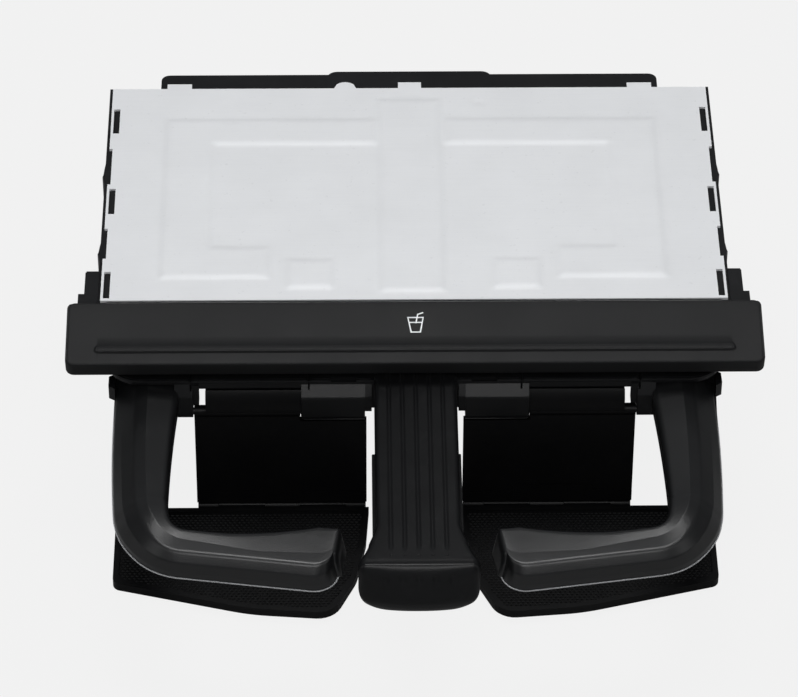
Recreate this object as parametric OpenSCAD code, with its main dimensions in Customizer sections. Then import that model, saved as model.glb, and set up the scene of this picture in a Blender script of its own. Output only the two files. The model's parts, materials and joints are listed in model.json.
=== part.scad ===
// Pull-out double cup holder for a dashboard slot.
// X runs to the right, Y to the rear of the slot, Z up. The origin is on the underside, at the middle of the mouth.
// The drawer is drawn pulled out, with its trays dropped and the flap open.

/* [Cassette] */
// Width of the steel top cover
cover_w = 175; // [170:0.5:180]
// Length of the steel top cover, front to rear
cover_l = 94.5; // [93:0.5:104]
// Height of the cassette, underside to top of the steel
case_h = 24; // [23.5:0.5:28]
// Thickness of the moulded walls
wall = 2.4; // [1.8:0.1:3]
// Thickness of the floor
floor_t = 1.4; // [1:0.1:1.6]
// Thickness of the steel sheet
sheet_t = 0.8; // [0.5:0.1:1.2]
// How far the side walls stand out beside the steel
wall_proud = 0.9; // [0.4:0.1:1.5]
// Height of the pressed bands on the steel
emboss_h = 0.45; // [0.2:0.05:0.7]
// Width of the cheeks' outer plates
cheek_t = 2.2; // [1.6:0.1:2.6]
// Width of the floor's middle spine
spine_w = 22; // [16:0.5:24]

/* [Drawer] */
// Room left behind the drawer when it is in
rear_room = 10.5; // [10.5:0.5:20]
// How far the nose stands ahead of the mouth when the drawer is out
reach = 99; // [99:0.5:110]
// How far the deck's top lies under the top of the case
deck_drop = 10; // [9.8:0.1:10.2]
// Thickness of the deck
deck_t = 1.4; // [1:0.1:1.6]
// How far the deck's front edge stands ahead of the mouth
deck_front = 22.5; // [22:0.5:26]
// How far the deck stays inside the mouth when the drawer is out
deck_inside = 7.8; // [6:0.1:8]
// How far the bridge stands above the deck
bridge_rise = 1; // [0.6:0.1:1.2]
// Width of the ribbed bridge
bridge_w = 23.4; // [20:0.2:24]
// Width of the beam under the bridge
beam_w = 24.4; // [21:0.2:25]
// Width of the nose
nose_w = 32.4; // [28:0.2:34]
// Number of grooves along the bridge
grooves = 5; // [3:2:7]
// Distance between the grooves
groove_pitch = 3.7; // [2.5:0.1:4]

/* [Arms] */
// How far each arm's pivot lies inside the edge of the steel
pivot_in = 12.5; // [12:0.1:13]
// Radius of the pivot pins
pin_r = 3; // [2:0.1:3.4]
// Width of an arm along its leg
leg_w = 15.9; // [13:0.1:17]
// Width of an arm along its hook
hook_w = 11; // [9:0.1:13]
// Width of an arm at its tip
tip_w = 17; // [13:0.1:18]
// Radius of the arm's outer corner
elbow_r = 23; // [18:0.5:26]
// Angle by which the hook leans forward
hook_lean = 8.4; // [4:0.1:12]
// Length of the leg, from the knuckle to the elbow
leg_l = 50; // [44:0.5:50]
// Room between an arm's tip and the nose
tip_room = 7.3; // [6.8:0.1:12]
// How far the arm's crest climbs from the knuckle to the hook
crest_rise = 2.7; // [1:0.1:2.7]
// Angle by which the right arm stands further open
right_open = 1.5; // [0:0.1:1.5]

/* [Panels and trays] */
// Distance between a panel's two hinges
drop = 34.3; // [30:0.1:36]
// Thickness of a panel
panel_t = 2; // [1.6:0.1:2]
// Room between a panel and the bridge
bridge_room = 1.8; // [1.6:0.1:3]
// How far a panel ends inside the arm's pivot
panel_room = 13.7; // [13.5:0.1:16]
// Forward lean of a hanging panel
panel_lean = 4; // [0:0.5:6]
// Thickness of a tray
tray_t = 2.6; // [2:0.1:2.6]
// Depth of a tray at its outer side
tray_side = 31.7; // [29:0.1:36]
// Depth of a tray at its longest point
tray_depth = 43.9; // [39:0.1:44]
// Depth of the grained recess in a tray
grain_d = 0.4; // [0.2:0.1:0.6]
// Width of a tray's plain rim
rim_w = 1.6; // [1:0.1:3]
// Radius of the hinge rods
rod_r = 1; // [0.8:0.05:1.05]
// Radius of the hinge barrels
barrel_r = 1.7; // [1.6:0.05:1.75]

/* [Flap] */
// How far the flap stands out beside the steel
flap_over = 8.8; // [8:0.1:11]
// Length of the flap's face
face_l = 20.8; // [19:0.1:21.5]
// Height of the flap's front lip
lip_h = 5.1; // [4:0.1:5.8]
// Thickness of the flap
flap_t = 2.4; // [1.8:0.1:2.6]
// Angle by which the open flap hangs below level
flap_tilt = 11.3; // [9:0.1:13]
// Height of the raised ridge
ridge_h = 0.7; // [0.4:0.1:1]
// Radius of the flap's pins
flap_pin_r = 1.5; // [1:0.1:1.8]
// Height of the cup pictogram
cup_h = 5.4; // [4:0.1:7]

/* [Damper] */
// Module of the damper's teeth
tooth_m = 1; // [0.9:0.05:1]
// Teeth on the damper's pinion
pinion_teeth = 12; // [12:1:13]
// Thickness of the pinion
pinion_t = 3; // [2:0.1:3.2]
// Clearance across the teeth
backlash = 0.16; // [0.1:0.01:0.3]

/* [Hidden] */

$fn = 48;
arc_steps = 6;

black = "#17181a";
soft_black = "#202124";
steel = "#d9dcde";
spring_steel = "#9a9da0";
nylon = "#e8e6df";

fit = 0.05;
gap = 0.3;
wide_gap = 0.5;

// Cassette
travel = cover_l - rear_room;
wall_x = cover_w / 2 + wall_proud;
inner_x = wall_x - wall;
wall_top = case_h - sheet_t;
rear_y = cover_l + 1;
rear_inner = rear_y - wall;
guide_w = 1.1;
guide_t = 1.3;
bay_rear = travel - 18;
ledge_w = 1.4;
rail_y = cover_l + 9;
rail_half = cover_w / 2 - 14;
rail_mid = 24.4;
rail_top = case_h - 2;
rail_t = 1.8;
slot_y = [6.6, cover_l / 2 - 4.25, cover_l - 15.1];
slot_l = 0.1185 * cover_l;
slot_w = 2.6;
clip_y = [mix(slot_y[0], slot_y[1], 0.49), mix(slot_y[1], slot_y[2], 0.43)];
clip_l = [0.138 * cover_l, 0.17 * cover_l];
clip_bulge = 1.1;
clip_t = 0.5;
clip_z = [case_h / 3, case_h - 4];

// Flap pivot, and the cheeks that hold it
flap_w = cover_w + 2 * flap_over;
flap_axis = [-7, case_h - 10];
flap_rear = [-3, case_h + 2];
cheek_front = -11;
cheek_low = flap_axis.y - 3.8;
cheek_high = flap_axis.y + 5;
ear_x = wall_x + 3.7;
ear_back = 13;
step_back = 4.3;
ear_front = -2.2;
cheek_x = wall_x + 3.2;
flap_arm_x = [wall_x + 1.2, wall_x + 2.8];
flap_knuckle_r = 3.2;

// Drawer
deck_top = case_h - deck_drop;
bridge_top = deck_top + bridge_rise;
flange_top = 7.7;
skirt_low = flange_top + gap;
deck_x = inner_x - gap;
deck_low = deck_top - deck_t;
lip_low = deck_top - 3.8;
front_y = -deck_front;
rear_deck = deck_inside;
plate_low = 2.4;
plate_top = 4.2;
rail_wall = 1.8;
rail_front = -5;
rail_in = 1.1;
pivot = [cover_w / 2 - pivot_in, -8];
panel_in = bridge_w / 2 + bridge_room;
panel_out = pivot.x - panel_room;

// Arms
arm_low = plate_top + gap;
arm_plate_t = 1.5;
grip_low = arm_low + arm_plate_t;
knuckle_r = 7.5;
knuckle_top = deck_low - 0.4;
arm_outer = inner_x - 2.8;
leg_start = -17;
leg_end = leg_start - leg_l;
spring_r = 4.6;
spring_wire = 0.4;
spring_pitch = 0.9;
pocket_r = 5.6;
pocket_z = knuckle_top - 3.2;
crest_low = deck_low - gap;
crest_high = crest_low + crest_rise;

// Panels and trays
panel_axis = [front_y - 0.3, 3.1];
tray_axis = panel_axis - drop * [sin(panel_lean), cos(panel_lean)];
tray_over = 1.1;
tray_outer = inner_x - 1.9;
tray_inner = panel_in - 0.6;
tray_back = barrel_r + 0.4;
ear_gap = 0.3;
bracket = [panel_in + 0.4, panel_in + 18];
bracket_front = panel_axis.x - 2.4;
bracket_rear = panel_axis.x + 1.9;
ledge_z = panel_axis.y + barrel_r + 0.2;
bracket_drop = bracket_front - panel_axis.x - 0.6;
knuckles = [0.12, 0.4, 0.6, 0.88];
knuckle_gap = 0.05;

// Damper and eject spring
pitch_r = tooth_m * pinion_teeth / 2;
pressure = 20;
rack_face = 3.2;
pitch_x = inner_x - rack_face + 0.4;
pinion_at = [pitch_x - pitch_r, 1.5];
pinion_z = deck_top + 2.2;
rack_l = travel + 8;
drum_at = [inner_x - 8.5, 0];
drum_z = deck_top + 1.1;
drum_h = 5.8;
roll_r = 7.2;
hub_r = 3.6;
strip_t = 0.25;

// Latch
latch_x = [33, 47];
latch_z = [deck_top + 1.6, case_h - 2];
latch_l = 13;
plunger_w = 6;
plunger_out = 4.6;
latch_press = 3;
striker_y = rear_inner - latch_l - plunger_out - gap - travel;

// Places and directions
function unit(v) = v / norm(v);
function turn(p, a) = [p.x * cos(a) - p.y * sin(a), p.x * sin(a) + p.y * cos(a)];
function mix(a, b, t) = a + (b - a) * t;

// The arc that rounds corner b, which lies between a and c
function fillet(a, b, c, r) =
    r <= 0 ? [b] :
    let (
        u = unit(a - b),
        v = unit(c - b),
        half = acos(max(-1, min(1, u * v))) / 2,
        mid = b + unit(u + v) * r / sin(half),
        p = b + u * r / tan(half) - mid,
        q = b + v * r / tan(half) - mid,
        from = atan2(p.y, p.x),
        sweep = (atan2(q.y, q.x) - from + 540) % 360 - 180
    )
    [for (i = [0 : arc_steps]) mid + r * [cos(from + sweep * i / arc_steps), sin(from + sweep * i / arc_steps)]];

// An outline from its corners, each given as [x, y, radius]
function outline(corners) =
    let (n = len(corners))
    [for (i = [0 : n - 1])
        let (a = corners[(i + n - 1) % n], b = corners[i], c = corners[(i + 1) % n])
        each fillet([a.x, a.y], [b.x, b.y], [c.x, c.y], b[2])];

// A block between two corners
module block(low, high) translate(low) cube(high - low);

// A flat plate from an outline's corners, between two heights
module plate(corners, low, high)
    translate([0, 0, low]) linear_extrude(high - low) polygon(outline(corners));

// A profile in the YZ plane, drawn as [y, z, radius] and stretched from x0 to x1
module slab(corners, x0, x1)
    translate([x0, 0, 0]) rotate([90, 0, 90]) linear_extrude(x1 - x0) polygon(outline(corners));

// A round bar along X
module bar(x0, x1, at, r) translate([x0, at.x, at.y]) rotate([0, 90, 0]) cylinder(r = r, h = x1 - x0);

module both() {
    children();
    mirror([1, 0, 0]) children();
}

// Base shell

module side_wall() {
    block([inner_x, 0, 0], [wall_x, rear_y, wall_top]);
    slab([[cheek_front, cheek_low, 3], [1, cheek_low, 0], [1, cheek_high, 0], [cheek_front, cheek_high, 3]],
        inner_x, wall_x);
    // Guide ribs over and under the deck's edge
    for (z = [deck_low - gap - guide_t, deck_top + gap])
        block([inner_x - guide_w, 0, z], [inner_x + 1, rear_inner, z + guide_t]);
    // Floor ledge beside the bay
    block([inner_x - ledge_w, 0, 0], [inner_x + 1, rear_y - 1, floor_t]);
    // Lugs that come up through the slots of the steel
    for (y = slot_y)
        block([inner_x - slot_w + 1.2, y - slot_l / 2 + 0.6, wall_top - 2],
            [inner_x + 0.3, y + slot_l / 2 - 0.6, case_h - 0.2]);
}

module cheek() {
    // Ear beside the cover, stepped as it goes out
    slab([[ear_front, cheek_low, 1], [ear_back, cheek_low, 4], [ear_back, case_h, 0.8], [ear_front, case_h, 0.8]],
        wall_x - 0.2, cheek_x + 0.2);
    slab([[ear_front, cheek_low, 1], [ear_back, cheek_low, 4], [ear_back, case_h - 0.4, 0.8],
        [ear_front, case_h - 0.4, 0.8]], cheek_x, ear_x);
    slab([[cheek_front, cheek_low, 3], [step_back, cheek_low, 2], [step_back, case_h - 0.8, 0.8],
        [ear_front, case_h - 0.8, 0.8], [ear_front, cheek_high, 1], [cheek_front, cheek_high, 3]],
        cheek_x, cheek_x + cheek_t);
}

module rear_rail() {
    plate([[-rail_half, rear_y - 2, 0], [rail_half, rear_y - 2, 0], [rail_half, rail_y, 2.5], [-rail_half, rail_y, 2.5]],
        rail_top - rail_t, rail_top);
    plate([[-rail_mid, rear_y - 2, 0], [rail_mid, rear_y - 2, 0], [rail_mid, rail_y + 0.7, 3],
        [-rail_mid, rail_y + 0.7, 3]], rail_top - rail_t - 0.6, rail_top + 0.6);
    // Gussets under the rail
    for (i = [-3 : 3]) let (x = i * rail_half * 0.3)
        slab([[rear_y - 1, case_h / 3, 0], [rail_y - 1.5, rail_top - rail_t + 0.2, 0], [rear_y - 1, rail_top - rail_t + 0.2, 0]],
            x - 0.8, x + 0.8);
}

module base_floor() {
    block([-inner_x - 0.5, bay_rear, 0], [inner_x + 0.5, rear_inner + 1, floor_t]);
    block([-spine_w / 2, -1, 0], [spine_w / 2, bay_rear + 1, floor_t]);
    // Stiffening ribs along the spine and across the rear floor
    both() block([spine_w / 2 - 2, 4, 0], [spine_w / 2 - 0.6, bay_rear + 1, floor_t + 1.1]);
    for (y = [bay_rear, rear_inner - 8])
        block([-inner_x, y, 0], [inner_x, y + 1.2, plate_low - 0.4]);
}

module base_shell() color(black)
    difference() {
        union() {
            both() {
                side_wall();
                cheek();
            }
            block([-wall_x + 1, rear_inner, 0], [wall_x - 1, rear_y, wall_top]);
            rear_rail();
            base_floor();
        }
        // Bores of the flap's pins
        both() bar(inner_x - 1, cheek_x + cheek_t + 1, flap_axis, flap_pin_r + fit);
        // Rounded corners at the rear of the bays
        both() translate([spine_w / 2 + 10, bay_rear, -1]) cylinder(r = 3, h = floor_t + 4);
        both() translate([inner_x - 14, bay_rear, -1]) cylinder(r = 3, h = floor_t + 4);
    }

// Steel cover

band_x = [cover_w / 2 - 16, cover_w / 2 - 30.5, 40.4, 9.6];
band_y = [9, 22.7, cover_l - 26.5, cover_l - 14.5];
function band(i) = [
    [-band_x[0] + i, band_y[0] + i, 3], [-band_x[2] - i, band_y[0] + i, 2.5],
    [-band_x[2] - i, band_y[1] - i, 2.5], [-band_x[1] - i, band_y[1] - i, 1], [-band_x[1] - i, band_y[2] + i, 4],
    [-band_x[3] - i, band_y[2] + i, 1], [-band_x[3] - i, band_y[3] - i, 2], [-band_x[0] + i, band_y[3] - i, 4]];

module cover_bands(inset, low, high) {
    both() plate(band(inset), low, high);
    both() plate([[22.3 + inset, 4.5 + inset, 1.5], [35.8 - inset, 4.5 + inset, 1.5],
        [35.8 - inset, 17.2 - inset, 1.5], [22.3 + inset, 17.2 - inset, 1.5]], low, high);
    plate([[-band_x[3] + inset, 3 + inset, 1], [band_x[3] - 0.6 - inset, 3 + inset, 1],
        [band_x[3] - 0.6 - inset, cover_l - 5.5 - inset, 2], [-band_x[3] + inset, cover_l - 5.5 - inset, 2]],
        low, high);
}

module cover_sheet(low, high) {
    half = cover_w / 2;
    plate([[-half, 0, 0.8], [half, 0, 0.8], [half, cover_l, 0.8], [-half, cover_l, 0.8]], low, high);
    // Tabs at the rear edge
    plate([[-3.4, cover_l - 1, 0], [3.4, cover_l - 1, 0], [3.4, cover_l + 2.7, 0.8], [-3.4, cover_l + 2.7, 0.8]],
        low, high);
    both() plate([[band_x[0] - 7.2, cover_l - 1, 0], [band_x[0], cover_l - 1, 0], [band_x[0], cover_l + 2.2, 0.6],
        [band_x[0] - 7.2, cover_l + 2.2, 0.6]], low, high);
    plate([[-22.3, cover_l - 1, 0], [-15.8, cover_l - 1, 0], [-15.8, cover_l + 2.9, 2.8],
        [-22.3, cover_l + 2.9, 2.8]], low, high);
}

hem_h = 1.9;
hem_x = inner_x - gap;

module top_cover() color(steel)
    difference() {
        union() {
            cover_sheet(wall_top, case_h);
            cover_bands(0, case_h - 0.2, case_h + emboss_h);
            // Hem along the front edge
            block([-hem_x, 0, case_h - hem_h], [hem_x, sheet_t, case_h - 0.1]);
        }
        cover_bands(0.6, wall_top - 1, wall_top + emboss_h);
        // Slots for the lugs, and notches beside the clips
        both() for (y = slot_y)
            block([inner_x - slot_w + 0.9, y - slot_l / 2, wall_top - 1],
                [inner_x + 0.7, y + slot_l / 2, case_h + 1]);
        both() for (i = [0, 1])
            plate([[cover_w / 2 - 0.9, clip_y[i] - clip_l[i] / 2, 0], [cover_w / 2 + 2, clip_y[i] - clip_l[i] / 2, 0],
                [cover_w / 2 + 2, clip_y[i] + clip_l[i] / 2, 0], [cover_w / 2 - 0.9, clip_y[i] + clip_l[i] / 2, 0]],
                wall_top - 1, case_h + 1);
    }

// Leaf springs on the case sides

function leaf(l, bulge) = let (n = 10) [for (i = [0 : n]) [bulge * sin(180 * i / n), l * (i / n - 0.5)]];

module side_clips() color(spring_steel)
    both() for (i = [0, 1]) translate([wall_x, clip_y[i], clip_z[0]])
        linear_extrude(clip_z[1] - clip_z[0])
            polygon(concat(leaf(clip_l[i], clip_bulge + clip_t),
                [for (p = leaf(clip_l[i] - 2.4, clip_bulge)) [p.x, -p.y]]));

// Rack and pinion of the damper

module rack() color(nylon) {
    root = pitch_x + 1.1 * tooth_m;
    tip = pitch_x - 0.65 * tooth_m;
    step = PI * tooth_m;
    count = floor(rack_l / step);
    wide = step / 4 - backlash / 4;
    low = wide + (root - pitch_x) * tan(pressure);
    high = wide + (tip - pitch_x) * tan(pressure);
    first = pinion_at.y - step / 2;
    teeth = [for (i = [0 : count - 1]) let (y = first + i * step)
        each [[root, y - low], [tip, y - high], [tip, y + high], [root, y + low]]];
    mirror([1, 0, 0]) translate([0, 0, pinion_z]) linear_extrude(pinion_t)
        polygon(concat([[inner_x, first - step], [root, first - step]], teeth,
            [[root, first + rack_l - step], [inner_x, first + rack_l - step]]));
}

// Half of one involute tooth, from the base circle to the tip
function involute(base, r) = let (t = sqrt(max(0, r * r / (base * base) - 1)) * 180 / PI) t - atan(t * PI / 180);
function tooth_side(base, tip, half) =
    [for (i = [0 : 6]) let (r = mix(base, tip, i / 6), a = half - involute(base, r)) r * [cos(a), sin(a)]];

module pinion_outline() {
    base = pitch_r * cos(pressure);
    tip = pitch_r + 0.85 * tooth_m;
    root = pitch_r - 1 * tooth_m;
    half = 90 / pinion_teeth - backlash / 4 / pitch_r * 180 / PI + involute(base, pitch_r);
    circle(r = root);
    for (i = [0 : pinion_teeth - 1]) rotate(360 * i / pinion_teeth)
        polygon(concat(
            [(root - 0.3) * [cos(half), -sin(half)]],
            [for (p = tooth_side(base, tip, half)) [p.x, -p.y]],
            [for (k = [6 : -1 : 0]) tooth_side(base, tip, half)[k]],
            [(root - 0.3) * [cos(half), sin(half)]]));
}

module damper_pinion() color(nylon)
    translate([-pinion_at.x, pinion_at.y, pinion_z])
        difference() {
            union() {
                linear_extrude(pinion_t) pinion_outline();
                cylinder(r = pitch_r - 2, h = pinion_t + 0.5);
            }
            translate([0, 0, -1]) cylinder(r = 1.5 + fit, h = pinion_t + 3);
        }

module damper_body() color(black)
    translate([-pinion_at.x, pinion_at.y, deck_top]) {
        cylinder(r = 5, h = 1.4);
        cylinder(r = 2.6, h = pinion_z - deck_top - 0.1);
        cylinder(r = 1.5, h = pinion_z - deck_top + pinion_t + 1);
        plate([[0, -2.4, 2], [9.5, -2.4, 2.2], [9.5, 2.4, 2.2], [0, 2.4, 2]], 0, 1);
    }

// Eject spring: a strip coiled on a drum, with its end fixed to the side wall

module spring_drum() color(nylon)
    translate([drum_at.x, drum_at.y, drum_z])
        difference() {
            union() {
                cylinder(r = hub_r, h = drum_h);
                cylinder(r = roll_r - 0.5, h = 0.6);
            }
            translate([0, 0, -1]) cylinder(r = 2 + fit, h = drum_h + 2);
        }

function spiral(turns, r0, r1, side) =
    [for (i = [0 : turns * 24]) let (a = 15 * i, r = mix(r0, r1, i / (turns * 24)) + side) r * [cos(a), sin(a)]];

module eject_spring() color(spring_steel) {
    turns = 4;
    inner = spiral(turns, hub_r + 0.1, roll_r - strip_t, 0);
    outer = spiral(turns, hub_r + 0.1, roll_r - strip_t, strip_t);
    translate([drum_at.x, drum_at.y, drum_z + 0.7]) linear_extrude(drum_h - 1)
        polygon(concat(inner, [for (i = [len(outer) - 1 : -1 : 0]) outer[i]]));
}

module spring_tail() color(spring_steel)
    plate([[inner_x, cheek_front + 1, 0], [inner_x, -5, 0], [drum_at.x + roll_r + 0.4, 1, 0],
        [drum_at.x + roll_r + 0.1, 1, 0], [inner_x - strip_t, -5.2, 0], [inner_x - strip_t, cheek_front + 1, 0]],
        drum_z + 0.7, cheek_high - 1);

// Flap

module flap_place() translate([0, flap_rear.x, flap_rear.y]) rotate([flap_tilt, 0, 0]) children();

module flap_arm() {
    // Goose-neck from the face down to the pivot
    under = flap_rear - flap_t * [0, 1];
    neck_l = face_l / 2;
    slab([[flap_axis.x - flap_knuckle_r, flap_axis.y, 0], [flap_axis.x, flap_axis.y - 1, 0],
        [flap_axis.x + flap_knuckle_r, flap_axis.y, 0], [under.x - 0.8, under.y + 0.4, 0],
        [under.x - neck_l, under.y - 1.2, 0]], flap_arm_x[0], flap_arm_x[1]);
    bar(flap_arm_x[0], flap_arm_x[1], flap_axis, flap_knuckle_r);
}

ridge_x = flap_w / 2 - 8.4;
ridge_y = -face_l + 3.3;

module flap() color(black)
    difference() {
        union() {
            flap_place() {
                // Face and lip as one bent section
                slab([[0, -flap_t, 0.8], [0, 0, 1], [-face_l, 0, 0.8], [-face_l, -lip_h, 0.9],
                    [-face_l + flap_t - 0.2, -lip_h, 0.8], [-face_l + flap_t, -flap_t, 1.2]],
                    -flap_w / 2, flap_w / 2);
                // Raised ridge with rounded ends
                both() plate([[-1, ridge_y, 0], [ridge_x, ridge_y, 0.75], [ridge_x, ridge_y + 1.6, 0.75],
                    [-1, ridge_y + 1.6, 0]], -0.2, ridge_h);
                // Stiffening ribs under the face
                for (i = [-3 : 3]) let (x = i * flap_w * 0.135)
                    block([x - 0.6, -face_l + 1, -flap_t - 0.9], [x + 0.6, -1.5, -flap_t + 0.2]);
            }
            both() flap_arm();
        }
        both() bar(flap_arm_x[0] - 1, flap_arm_x[1] + 1, flap_axis, flap_pin_r + fit);
        // Rounded corners of the face, seen from above
        both() flap_place() corner_cut(flap_w / 2, -face_l, 2.2);
        both() flap_place() corner_cut(flap_w / 2, 0, -2.2);
    }

// What a rounded corner leaves over, at the corner x, y
module corner_cut(x, y, r)
    translate([0, 0, -lip_h - 1]) linear_extrude(lip_h + 2)
        difference() {
            translate([x - abs(r), min(y, y + r)]) square([abs(r) + 1, abs(r)]);
            translate([x - abs(r), y + r]) circle(r = abs(r));
        }

module cup_symbol() color("white") {
    line = 0.36;
    rim = 4.6;
    foot = 2.9;
    flap_place() translate([0.2, -5.7 - cup_h, 0]) linear_extrude(0.15) {
        difference() {
            polygon([[-foot / 2, 0], [foot / 2, 0], [rim / 2, cup_h], [-rim / 2, cup_h]]);
            polygon([[-foot / 2 + line, line], [foot / 2 - line, line], [rim / 2 - line, cup_h - line],
                [-rim / 2 + line, cup_h - line]]);
        }
        translate([-rim / 2 + 0.5, cup_h * 0.62]) square([rim - 1, line]);
        // Bent straw
        polygon([[-0.1, cup_h * 0.6], [0.26, cup_h * 0.6], [0.75, cup_h + 0.75], [2.2, cup_h + 1.35],
            [2.06, cup_h + 1.69], [0.46, cup_h + 1.02]]);
    }
}

module flap_pins() color(spring_steel)
    both() bar(inner_x + 0.2, cheek_x + cheek_t - 0.1, flap_axis, flap_pin_r);

// A wire through points, each with the direction that counts as outward there
module wire(path, outward, r) {
    sides = 8;
    n = len(path);
    points = [for (i = [0 : n - 1]) for (k = [0 : sides - 1])
        path[i] + r * (cos(360 * k / sides) * outward[i] + sin(360 * k / sides) * [0, 0, 1])];
    faces = concat(
        [[for (k = [0 : sides - 1]) k]],
        [for (i = [0 : n - 2]) for (k = [0 : sides - 1]) let (m = (k + 1) % sides)
            [i * sides + k, (i + 1) * sides + k, (i + 1) * sides + m, i * sides + m]],
        [[for (k = [sides - 1 : -1 : 0]) (n - 1) * sides + k]]);
    polyhedron(points, faces, convexity = 6);
}

// A torsion spring about Z. Its coil ends at the +Y side, and its leg leaves along +X.
module torsion_spring(mean, r, turns, pitch, leg) {
    count = turns * 18;
    angle = [for (i = [0 : count]) 90 + 20 * (count - i)];
    coil = [for (i = [0 : count]) [mean * cos(angle[i]), mean * sin(angle[i]), pitch * 20 * i / 360]];
    out = [for (i = [0 : count]) [cos(angle[i]), sin(angle[i]), 0]];
    top = pitch * turns;
    wire(concat(coil, [[leg, mean, top]]), concat(out, [[0, 1, 0]]), r);
}

module flap_springs() color(spring_steel)
    both() translate([wall_x + 0.95, flap_axis.x, flap_axis.y]) rotate([0, -90, 0])
        torsion_spring(2.3, 0.22, 1, 0.5, 7);

// Touch latch

module latch_body() color(black) {
    mid = (latch_x[0] + latch_x[1]) / 2;
    difference() {
        slab([[rear_inner - latch_l, latch_z[0], 0.8], [rear_inner, latch_z[0], 0], [rear_inner, latch_z[1], 0],
            [rear_inner - latch_l, latch_z[1], 0.8]], latch_x[0], latch_x[1]);
        block([mid - plunger_w / 2 - gap, rear_inner - latch_l - 1, latch_z[0] + 1.2],
            [mid + plunger_w / 2 + gap, rear_inner - 1.5, latch_z[1] - 1.2]);
    }
}

module latch_plunger() color(nylon) {
    mid = (latch_x[0] + latch_x[1]) / 2;
    front = rear_inner - latch_l - plunger_out;
    slab([[front, latch_z[0] + 2.2, 0.6], [rear_inner - 1.5 - latch_press - gap, latch_z[0] + 1.5, 0],
        [rear_inner - 1.5 - latch_press - gap, latch_z[1] - 1.5, 0], [front, latch_z[1] - 2.2, 0.6]],
        mid - plunger_w / 2, mid + plunger_w / 2);
}

// Carriage

module deck() {
    round_r = 10;
    plate([[-deck_x, front_y, round_r], [deck_x, front_y, round_r], [deck_x, rear_deck, 0.6],
        [-deck_x, rear_deck, 0.6]], deck_low, deck_top);
    // Front lip, inside the arms
    both() slab([[front_y, lip_low + 0.6, 0.6], [front_y, deck_top - 0.9, 0], [front_y + 1.4, deck_top - 0.9, 0],
        [front_y + 1.4, lip_low + 0.6, 0]], bridge_w / 2 + gap, panel_out + 2.2);
}

module ear_block() {
    // Outer ear of the panel's rod, stepped under the slit
    slab([[front_y - 2, panel_axis.y - barrel_r, barrel_r - 0.1], [front_y + 3, panel_axis.y - barrel_r, 0.5],
        [front_y + 3, deck_low + 0.2, 0], [front_y, deck_low + 0.2, 0], [front_y - 2, deck_low - 3, 1]],
        panel_out + ear_gap, panel_out + 5.3);
    slab([[front_y - 0.6, ledge_z, 0.8], [front_y + 3, ledge_z, 0], [front_y + 3, deck_low + 0.2, 0],
        [front_y - 0.6, deck_low + 0.2, 0]], panel_out - 1.4, panel_out + ear_gap + 0.5);
}

module carriage_side() {
    // Recessed front wall over the panel's barrel
    block([bracket[1] - 0.5, front_y + 1.3, ledge_z], [panel_out - 3.2, front_y + 2.7, deck_low + 0.2]);
    // Ledge over the barrel, so that no light shows between it and the wall
    block([bracket[1] - 0.5, front_y + 0.1, ledge_z], [panel_out - 3.2, front_y + 2, ledge_z + 1]);
    // Front bracket, which holds the panel's rod
    slab([[bracket_front, panel_axis.y - barrel_r, 1.5], [bracket_rear, panel_axis.y - barrel_r, 1.2],
        [bracket_rear, deck_low + 0.2, 0], [front_y + 0.2, deck_low + 0.2, 0], [bracket_front, lip_low - 0.6, 1.2]],
        bracket[0], bracket[1]);
    // Inner web of the bracket, beside the bridge
    slab([[bracket_front + 0.4, panel_axis.y + 0.5, 1.6], [bracket_rear - 1, panel_axis.y + 0.5, 0.5],
        [bracket_rear - 1, deck_low + 0.2, 0], [front_y + 0.2, deck_low + 0.2, 0],
        [bracket_front + 0.4, lip_low - 0.6, 1]], bridge_w / 2 + 0.35, bracket[0] + 0.8);
    block([bridge_w / 2 - 1.4, front_y + 0.1, panel_axis.y + 0.5], [bracket[0] + 0.8, bracket_rear, deck_low + 0.2]);
    ear_block();
    // Plate under the arm's knuckle, with its walls
    plate([[panel_out + 0.7, front_y + 3, 0], [panel_out + 5, front_y + 3, 0], [deck_x - 2, -16, 6],
        [deck_x, rear_deck, 0.6], [panel_out + 0.7, rear_deck, 0.6]], plate_low, plate_top);
    block([deck_x - rail_in - rail_wall, rail_front, plate_low + 0.2], [deck_x - rail_in, rear_deck, deck_low + 0.2]);
    block([panel_out + 0.7, front_y + 3, plate_low + 0.2], [panel_out + 2.3, rear_deck, deck_low + 0.2]);
    // Cross walls to the middle
    block([bridge_w / 2 - 3, rear_deck - rail_wall, lip_low - 4], [deck_x - rail_in, rear_deck, deck_low + 0.2]);
    for (x = [bracket[0] + 0.6, bracket[1] - 1.8])
        block([x, bracket_rear - 0.5, lip_low - 4], [x + 1.4, rear_deck, deck_low + 0.2]);
}

module deck_slits() {
    slit = 0.55;
    both() for (x = [bracket[1] - 2.1, panel_out + 0.8])
        block([x - slit / 2, front_y - 1, deck_top - 0.7], [x + slit / 2, front_y + 5, deck_top + 1]);
    both() for (x = [bracket[1] - 2.1, panel_out + 0.8])
        block([x - slit / 2, front_y - 1, lip_low + 0.6], [x + slit / 2, front_y + 0.5, deck_top]);
    for (x = [-23.3, 15.6])
        block([x, front_y - 1, deck_top - 0.6], [x + 7, front_y + 1.2, deck_top + 1]);
}

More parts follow.
